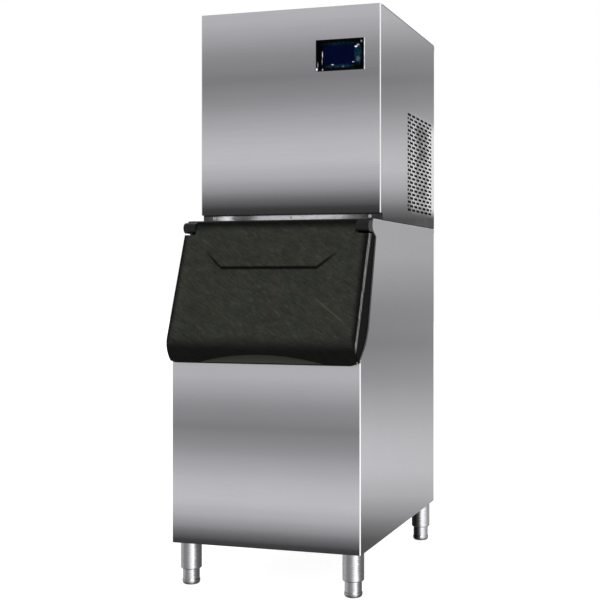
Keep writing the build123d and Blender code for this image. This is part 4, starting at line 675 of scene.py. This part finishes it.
def door_moulding():
    """Black door skin with slanting leather grain, painted shade at its edges and painted light
    along its side.
    """
    m = Nodes("door_skin")
    slant = m.noise(m.stretched((14, 14, 62), (0, 30, 0)), 3.2, 6.0, 0.75)
    fine = m.noise(m.stretched((34, 34, 150), (0, 38, 0)), 6.0, 4.0, 0.7)
    pebbles = m.noise(m.place, 700.0, 2.0)
    streaks = m.sums("ADD", m.product(slant, 0.62), m.product(fine, 0.38))
    stops = [(at, grey(value, door_tint)) for at, value in door_greys]
    skin = m.ramp(streaks, stops, "LINEAR")
    clouds = m.noise(m.place, 9.0, 4.0)
    skin = m.mix(m.spread(clouds, 0.35, 0.7, 0.0, 0.3), skin, grey(44, door_tint))
    mottle = m.noise(m.stretched((5, 5, 13), (0, 30, 0)), 4.0, 6.0, 0.65)
    mottle = m.grey_of(m.spread(mottle, 0.36, 0.64, 0.84, 1.12))
    skin = m.mix(1.0, skin, mottle, "MULTIPLY")
    tinge = m.spread(m.noise(m.place, 38.0, 3.0), 0.42, 0.60)
    tinged = m.mix(tinge, (0.97, 1.02, 0.97, 1), (1.05, 0.99, 0.99, 1))
    skin = m.mix(1.0, skin, tinged, "MULTIPLY")
    off_middle = m.sums("ABSOLUTE", m.x)
    # Painted shade where the door's face turns away at its edges, and round the raised pad
    dark_ends = m.sums("MAXIMUM", m.fade(m.z, *door_foot_shade), m.fade(m.z, *door_top_shade))
    dark = m.sums("MAXIMUM", m.fade(off_middle, *door_side_shade), dark_ends)
    skin = m.mix(m.product(dark, 0.85), skin, grey(7))
    skin = m.mix(pad_shade(m, off_middle), skin, grey(8))
    below = m.spread(m.z, grip_height, grip_height - 0.004)
    in_grip = m.product(below, m.spread(m.normal_y, -0.97, -0.99))
    skin = m.mix(in_grip, skin, grey(50, door_tint))
    skin = m.mix(crease(m), skin, grey(84, door_tint))
    facing_side = m.fade(m.sums("ABSOLUTE", m.normal_x), 0.6, 0.9)
    skin = m.mix(facing_side, skin, side_streak(m))
    relief = m.bump(streaks, 0.35, 0.0006)
    return m.surface(
        Base_Color=skin,
        Roughness=m.vary(fine, 0.45, 0.6),
        Normal=m.bump(pebbles, 0.12, 0.0002, relief),
        Specular_IOR_Level=0.004,
    )


def pad_shade(m, off_middle):
    """Painted shade that gathers in the corner round the raised pad's lower edge."""
    edge_height = pad_low[1] - pad_shade_drop
    level = m.product(
        m.fade(m.off(m.z, edge_height), 0.001, 0.008, 0.85, 0.0),
        m.spread(off_middle, pad_low[0] + 0.003, pad_low[0]),
    )
    slope = (pad_high[1] - pad_low[1]) / (pad_high[0] - pad_low[0])
    edge = m.sums("MULTIPLY_ADD", off_middle, slope, edge_height - slope * pad_low[0])
    slanted = m.product(
        m.fade(m.off(m.z, edge), 0.001, 0.009, 0.75, 0.0),
        m.spread(off_middle, pad_low[0] - 0.002, pad_low[0] + 0.001),
        m.fade(off_middle, pad_high[0] + 0.004, pad_low[0] + 0.02),
    )
    return m.sums("MAXIMUM", level, slanted)


def crease(m):
    """Faint bright crease low on the right of the door's face."""
    slope = (crease_end[1] - crease_start[1]) / (crease_end[0] - crease_start[0])
    line = m.sums("MULTIPLY_ADD", m.x, slope, crease_start[1] - slope * crease_start[0])
    return m.product(
        m.fade(m.off(m.z, line), 0.0, 0.005, 0.28, 0.0),
        m.fade(m.x, crease_start[0] - 0.01, crease_start[0] + 0.02),
        m.fade(m.x, crease_end[0] + 0.01, crease_end[0] - 0.03),
    )


def side_streak(m):
    """Door's side: dark, with one soft streak of light that follows the slanted face."""
    above = m.sums("SUBTRACT", m.z, hinge_place[2] + face_rise)
    beside = m.sums("SUBTRACT", m.y, hinge_place[1])
    sunk = m.sums(
        "SUBTRACT", m.product(beside, -face_normal[1]), m.product(above, face_normal[2])
    )
    wider = m.spread(m.z, door_low[2] + 0.05, door_high[2], 1.0, 1.8)
    sunk = m.sums("DIVIDE", sunk, wider)
    # Noise that makes the painted streak of light patchy
    patchy_light = m.noise(m.stretched((60, 60, 14)), 3.0, 4.0)
    streak = m.product(
        m.fade(sunk, *streak_rise),
        m.fade(sunk, *streak_fall),
        m.spread(patchy_light, 0.38, 0.62, 0.25, 1.0),
    )
    return m.mix(streak, grey(10), grey(128))


def window_shares(m):
    """Place on the display's surround, in shares of its width and height."""
    across = m.spread(m.x, window_low[0], window_high[0])
    up = m.spread(m.z, window_low[2], window_high[2])
    return across, up


def film_oval(m, across, up, oval):
    """Soft oval at a place on the window, in shares of its width and height."""
    middle_x, middle_z, reach_x, reach_z, strength = oval
    off_x = m.sums("DIVIDE", m.sums("SUBTRACT", across, middle_x), reach_x)
    off_z = m.sums("DIVIDE", m.sums("SUBTRACT", up, middle_z), reach_z)
    square = m.sums("ADD", m.product(off_x, off_x), m.product(off_z, off_z))
    return m.spread(square, 0.0, 1.0, strength, 0.0)


def film_glare(m, colour):
    """Adds the painted glare hazes and glints of light on the lifted film that covers the display
    to a colour.
    """
    across, up = window_shares(m)
    wander = m.spread(m.noise(m.place, 140.0, 4.0), 0.40, 0.60, 0.2, 1.0)
    for oval in film_glare_hazes:
        haze = m.product(film_oval(m, across, up, oval), wander)
        colour = m.mix(haze, colour, glare_haze_blue)
    ragged = m.spread(m.noise(m.place, 420.0, 3.0), 0.40, 0.55, 0.4, 1.0)
    for oval in film_glints:
        glint = m.sums("MULTIPLY", film_oval(m, across, up, oval), ragged, clamp=True)
        colour = m.mix(glint, colour, glint_white)
    return colour


def screen_glass():
    """Dark window with a deep blue lit area under its clear film."""
    m = Nodes("screen_glass")
    across, up = window_shares(m)
    lit = m.product(
        m.spread(across, *lit_left),
        m.spread(across, *lit_right),
        m.spread(up, *lit_foot),
        m.spread(up, *lit_head),
    )
    cloud = m.spread(m.noise(m.place, 30.0, 3.0), 0.35, 0.65)
    colour = m.mix(lit, unlit_glass, m.mix(cloud, *lit_glass))
    return m.surface(
        Base_Color=film_glare(m, colour),
        Roughness=m.spread(cloud, 0.0, 1.0, 0.14, 0.2),
        Specular_IOR_Level=0.01,
    )


def gloss_black():
    """Gloss black surround of the display, with a painted highlight down its right edge."""
    m = Nodes("gloss_black")
    smear = m.noise(m.place, 60.0, 4.0)
    colour = film_glare(m, m.shades(smear, grey(1), grey(6), 0.35))
    # Painted highlight down the surround's right edge
    patchy_light = m.product(m.fade(m.x, *highlight_edge), m.spread(smear, 0.4, 0.6, 0.6, 1.0))
    return m.surface(
        Base_Color=m.mix(patchy_light, colour, grey(222)),
        Roughness=m.vary(smear, 0.12, 0.3),
        Specular_IOR_Level=0.02,
    )


def copper():
    """Drawn copper pipe, a little tarnished."""
    m = Nodes("copper")
    tarnish = m.noise(m.place, 40.0, 5.0)
    return m.surface(
        Base_Color=m.shades(tarnish, *copper_colours),
        Metallic=1.0,
        Roughness=m.vary(tarnish, 0.45, 0.25),
    )


def board():
    """Circuit board with tracks under its lacquer."""
    m = Nodes("board")
    tracks = m.noise(m.place, 160.0, 1.0)
    stops = tuple(zip((0.45, 0.55), board_colours))
    return m.surface(Base_Color=m.ramp(tracks, stops, "CONSTANT"), Roughness=0.35)


def foam():
    """Rigid pour-in foam."""
    m = Nodes("foam")
    cells = m.noise(m.place, 260.0, 3.0)
    return m.surface(
        Base_Color=m.shades(cells, *foam_colours),
        Roughness=0.9,
        Normal=m.bump(cells, 0.5, 0.001),
    )


def paint_everything():
    """Gives every CAD node its material, and returns those that the added pieces share."""
    bin_sheet = brushed_sheet(
        "bin_sheet", bin_front_range, bin_side_range, bin_front, bin_tuning
    )
    head_looks = (head_front_range, head_side_range, head_front, head_tuning)
    head_sheet = brushed_sheet("head_sheet", *head_looks)
    grille_sheet = brushed_sheet("grille_sheet", *head_looks, glare=True)
    inner_steel = plain_steel("inner_steel", value=165, rough=0.38)
    bright = plain_steel("bright_steel", value=220, rough=0.18)
    # Fins and fan blade darkened as painted shade, so that the grille's slots in front of them
    # look dark
    fins = plain_steel("fins", value=52, rough=0.6)
    grid = plain_steel("plated_grid", value=200, rough=0.22)
    motor = plain_steel("motor_metal", value=96, rough=0.45)
    liner = moulding("pale_moulding", *pale_greys, rough=0.45)
    tub = moulding("tub_moulding", *pale_greys, rough=0.45, gloss=0.3, flange_shaded=True)
    frame_black = moulding("frame_black", low=12, high=24, rough=0.5, gloss=0.12)
    dark_plastic = moulding("dark_plastic", low=18, high=26, rough=0.4, gloss=0.3)
    seal = moulding("seal_rubber", low=30, high=44, rough=0.7)
    curtain = moulding("curtain_plastic", low=196, high=210, rough=0.3)
    white = moulding("white_plastic", low=192, high=208, rough=0.35)
    enamel = moulding("black_enamel", low=22, high=34, rough=0.22, pebble=300.0)
    looks = {
        bin_sheet: ("bin_shell", "bin_rear_panel"),
        head_sheet: (
            "head_front_panel",
            "head_left_panel",
            "head_top_cover",
            "head_rear_panel",
        ),
        grille_sheet: ("head_right_panel",),
        strip_steel(): ("head_base",),
        inner_steel: (
            "bin_base",
            "head_frame",
            "partition",
            "fan_shroud",
            "fan_bracket",
            "control_box",
        ),
        turned_steel(): (
            "legs",
            "foot_front_left",
            "foot_front_right",
            "foot_rear_left",
            "foot_rear_right",
        ),
        bright: ("strip_screws", "hinge_pin_left", "hinge_pin_right", "float_stem"),
        tub: ("bin_liner",),
        liner: (
            "door_liner",
            "water_trough",
            "evaporator_frame",
            "water_distributor",
        ),
        foam(): ("bin_insulation",),
        door_moulding(): ("door_shell",),
        frame_black: ("door_frame", "door_insulation"),
        gloss_black(): ("display_bezel",),
        dark_plastic: (
            "drain_strainer",
            "bin_drain",
            "trough_drain",
            "ice_probe",
        ),
        seal: ("door_gasket", "rim_gasket", "compressor_grommets", "pump_hose"),
        screen_glass(): ("display_screen",),
        board(): ("display_board", "control_board"),
        copper(): (
            "evaporator_coil",
            "filter_drier",
            "discharge_line",
            "liquid_line",
            "suction_line",
        ),
        grid: ("evaporator",),
        curtain: ("water_curtain", "float"),
        enamel: ("compressor",),
        fins: ("condenser", "fan_blade"),
        motor: ("fan_motor",),
        white: ("water_pump", "water_valve", "water_feed"),
    }
    for material, names in looks.items():
        for name in names:
            paint(name, material)
    return bright, white, liner


def solid_of(name, make, cutters=()):
    """Mesh made by a function that fills a bmesh, with its cutters taken away from it."""
    bm = bmesh.new()
    make(bm)
    mesh = bpy.data.meshes.new(name)
    bm.to_mesh(mesh)
    bm.free()
    if not cutters:
        return mesh
    body = bpy.data.objects.new(name, mesh)
    bpy.context.scene.collection.objects.link(body)
    for cutter in cutters:
        cut = body.modifiers.new("cut", "BOOLEAN")
        cut.operation = "DIFFERENCE"
        cut.solver = "EXACT"
        cut.object = cutter
    evaluated = body.evaluated_get(bpy.context.evaluated_depsgraph_get())
    result = bpy.data.meshes.new_from_object(evaluated)
    bpy.data.objects.remove(body)
    return result


def turned(bm, profile, steps=28):
    """Closed solid turned about Z from (radius, height) points that start and end on it."""
    rings = []
    for radius, height in profile:
        count = 1 if radius == 0 else steps
        ring = [
            bm.verts.new((radius * math.cos(turn), radius * math.sin(turn), height))
            for turn in (2 * math.pi * i / steps for i in range(count))
        ]
        rings.append(ring)
    for lower, upper in zip(rings, rings[1:]):
        for i in range(steps):
            corners = [
                lower[i % len(lower)],
                lower[(i + 1) % len(lower)],
                upper[(i + 1) % len(upper)],
                upper[i % len(upper)],
            ]
            bm.faces.new(list(dict.fromkeys(corners)))
    bmesh.ops.recalc_face_normals(bm, faces=bm.faces)


def cross_bar(length, width, low, high, turn):
    """One tapered bar of a cross recess, as a cutter."""

    def fill(bm):
        bmesh.ops.create_cube(bm, size=1.0)
        for vert in bm.verts:
            deep = vert.co.z < 0
            vert.co.x *= length * (0.5 if deep else 1.0)
            vert.co.y *= width * (0.7 if deep else 1.0)
            vert.co.z = low if deep else high

    cutter = bpy.data.objects.new("bar", solid_of("bar", fill))
    cutter.rotation_euler = (0, 0, turn)
    bpy.context.scene.collection.objects.link(cutter)
    return cutter


def cross_screw(radius, height, washer_radius=0.0):
    """Pan head screw with a cross recess, its seat at the origin and its crown along Z."""
    lift = washer_height if washer_radius else 0.0
    washer = [(washer_radius, 0), (washer_radius, lift)] if washer_radius else []
    crown = height + lift
    head = [(across * radius, lift + up * height) for across, up in head_profile]
    profile = [(0, 0), *washer, *head, (0, crown)]
    length, width = recess_length * radius, recess_width * radius
    low, high = recess_floor * crown, recess_top * crown
    bars = [
        cross_bar(length, width, low, high, turn)
        for turn in (recess_turn, recess_turn + math.pi / 2)
    ]
    screw = solid_of("screw", lambda bm: turned(bm, profile), bars)
    for bar in bars:
        bpy.data.objects.remove(bar)
    return screw


def facing(direction, place):
    """Matrix that stands a Z-pointing piece on a place, facing a direction."""
    turn = Vector(direction).to_track_quat("Z", "Y").to_matrix().to_4x4()
    return Matrix.Translation(place) @ turn


def piece_of(name, bm, material):
    """Smooth-shaded piece of the cabinet made of a bmesh, with its material."""
    mesh = bpy.data.meshes.new(name)
    bm.to_mesh(mesh)
    bm.free()
    mesh.materials.append(material)
    mesh.shade_smooth()
    mesh.set_sharp_from_angle(angle=sharp_angle)
    piece = bpy.data.objects.new(name, mesh)
    bpy.context.scene.collection.objects.link(piece)
    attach(piece, "cabinet")
    return piece


def screws(name, screw, direction, spots, material):
    """One piece of several screws that all face one way."""
    bm = bmesh.new()
    for spot in spots:
        before = len(bm.verts)
        bm.from_mesh(screw)
        bm.verts.ensure_lookup_table()
        bmesh.ops.transform(bm, matrix=facing(direction, spot), verts=bm.verts[before:])
    return piece_of(name, bm, material)


def strip_fasteners(bright):
    """Cross-recess screws with washers along the strip, in place of the plain ones."""
    low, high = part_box("strip_screws")
    reach = (high[0] - low[0]) / 2 - strip_washer_radius
    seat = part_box("head_base")[0][1]
    height = (low[2] + high[2]) / 2
    spots = [(x, seat, height) for x in (-reach, 0, reach)]
    screw = cross_screw(strip_head_radius, seat - low[1] - washer_height, strip_washer_radius)
    piece = screws("strip_screw_heads", screw, (0, -1, 0), spots, bright)
    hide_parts("strip_screws")


def rear_fasteners(bright):
    """Rows of screws that hold the two rear panels to their side flanges."""
    screw = cross_screw(rear_head_radius, rear_head_height)
    for node, count in rear_screw_counts:
        low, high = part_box(node)
        reach = high[0] - rear_screw_inset
        start = low[2] + rear_screw_margin
        step = (high[2] - low[2] - 2 * rear_screw_margin) / (count - 1)
        spots = [
            (side * reach, high[1], start + step * i) for side in (-1, 1) for i in range(count)
        ]
        screws(node.replace("panel", "screws"), screw, (0, 1, 0), spots, bright)


def inlet_thread(white):
    """Pipe thread round the water inlet's stub."""
    x, y, z = inlet_place
    root = inlet_radius - thread_root
    rings = []
    bm = bmesh.new()
    for i in range(thread_turns * thread_steps + 1):
        turn = 2 * math.pi * i / thread_steps
        fade = min(1.0, i / thread_steps, (thread_turns * thread_steps - i) / thread_steps)
        run = y + thread_start + thread_pitch * i / thread_steps
        crest = inlet_radius + thread_crest * fade
        ring = []
        for radius, shift in (
            (root, -thread_flank),
            (crest, -thread_flat),
            (crest, thread_flat),
            (root, thread_flank),
        ):
            place = (
                x + radius * math.cos(turn),
                run + shift * thread_pitch,
                z + radius * math.sin(turn),
            )
            ring.append(bm.verts.new(place))
        rings.append(ring)
    for first, second in zip(rings, rings[1:]):
        for i in range(len(first)):
            j = (i + 1) % len(first)
            bm.faces.new((first[i], first[j], second[j], second[i]))
    bm.faces.new(rings[0])
    bm.faces.new(rings[-1])
    bmesh.ops.recalc_face_normals(bm, faces=bm.faces)
    piece_of("inlet_thread", bm, white)


def sill_cap(liner):
    """Pale capping over the foam's edge, from the tub's front lip down to the doorway's sill."""
    bm = bmesh.new()
    left = [bm.verts.new((-sill_half, y, z)) for y, z in sill_section]
    right = [bm.verts.new((sill_half, y, z)) for y, z in sill_section]
    for i in range(len(sill_section)):
        j = (i + 1) % len(sill_section)
        bm.faces.new((left[i], left[j], right[j], right[i]))
    bm.faces.new(left)
    bm.faces.new(right)
    bmesh.ops.recalc_face_normals(bm, faces=bm.faces)
    long_edges = [e for e in bm.edges if abs(e.verts[0].co.x - e.verts[1].co.x) > sill_half]
    bmesh.ops.bevel(bm, geom=long_edges, offset=sill_edge_radius, segments=2, affect="EDGES")
    piece_of("sill_cap", bm, liner)


def set_camera():
    """Camera at the photograph's place, level, with the photograph's framing."""
    data = bpy.data.cameras.new("camera")
    data.sensor_width = sensor_width
    data.lens = sensor_width * focal_pixels / image_size
    data.shift_x = (image_size / 2 - view_centre[0]) / image_size
    data.shift_y = (view_centre[1] - image_size / 2) / image_size
    camera = bpy.data.objects.new("camera", data)
    camera.location = camera_place
    camera.rotation_euler = (math.pi / 2, 0, camera_turn)
    bpy.context.scene.collection.objects.link(camera)
    bpy.context.scene.camera = camera


def area_light(name, place, aim, size, power):
    """Soft square light that faces a point."""
    data = bpy.data.lights.new(name, "AREA")
    data.size = size
    data.energy = power
    light = bpy.data.objects.new(name, data)
    light.location = place
    light.rotation_euler = (Vector(aim) - Vector(place)).to_track_quat("-Z", "Y").to_euler()
    bpy.context.scene.collection.objects.link(light)


def set_stage():
    """Pale floor, pale surroundings and one soft light."""
    bpy.ops.mesh.primitive_plane_add(size=40)
    floor = bpy.context.object
    floor.name = "floor"
    m = Nodes("floor_paint")
    shade = m.noise(m.place, 0.8, 3.0)
    floor.data.materials.append(
        m.surface(
            Base_Color=m.shades(shade, grey(198), grey(206)),
            Roughness=0.9,
            Specular_IOR_Level=0.1,
            Emission_Color=(1, 1, 1, 1),
            Emission_Strength=0.75,
        )
    )
    world = bpy.data.worlds.new("room")
    world.use_nodes = True
    world.node_tree.nodes["Background"].inputs["Color"].default_value = (1, 1, 1, 1)
    world.node_tree.nodes["Background"].inputs["Strength"].default_value = 1.0
    bpy.context.scene.world = world
    area_light("key", place=(2.0, -3.2, 4.0), aim=(0, 0, 0.9), size=2.0, power=50)


bright_steel, white_plastic, pale_plastic = paint_everything()
strip_fasteners(bright_steel)
rear_fasteners(bright_steel)
inlet_thread(white_plastic)
sill_cap(pale_plastic)
set_camera()
set_stage()
bpy.context.scene.view_settings.view_transform = "Standard"
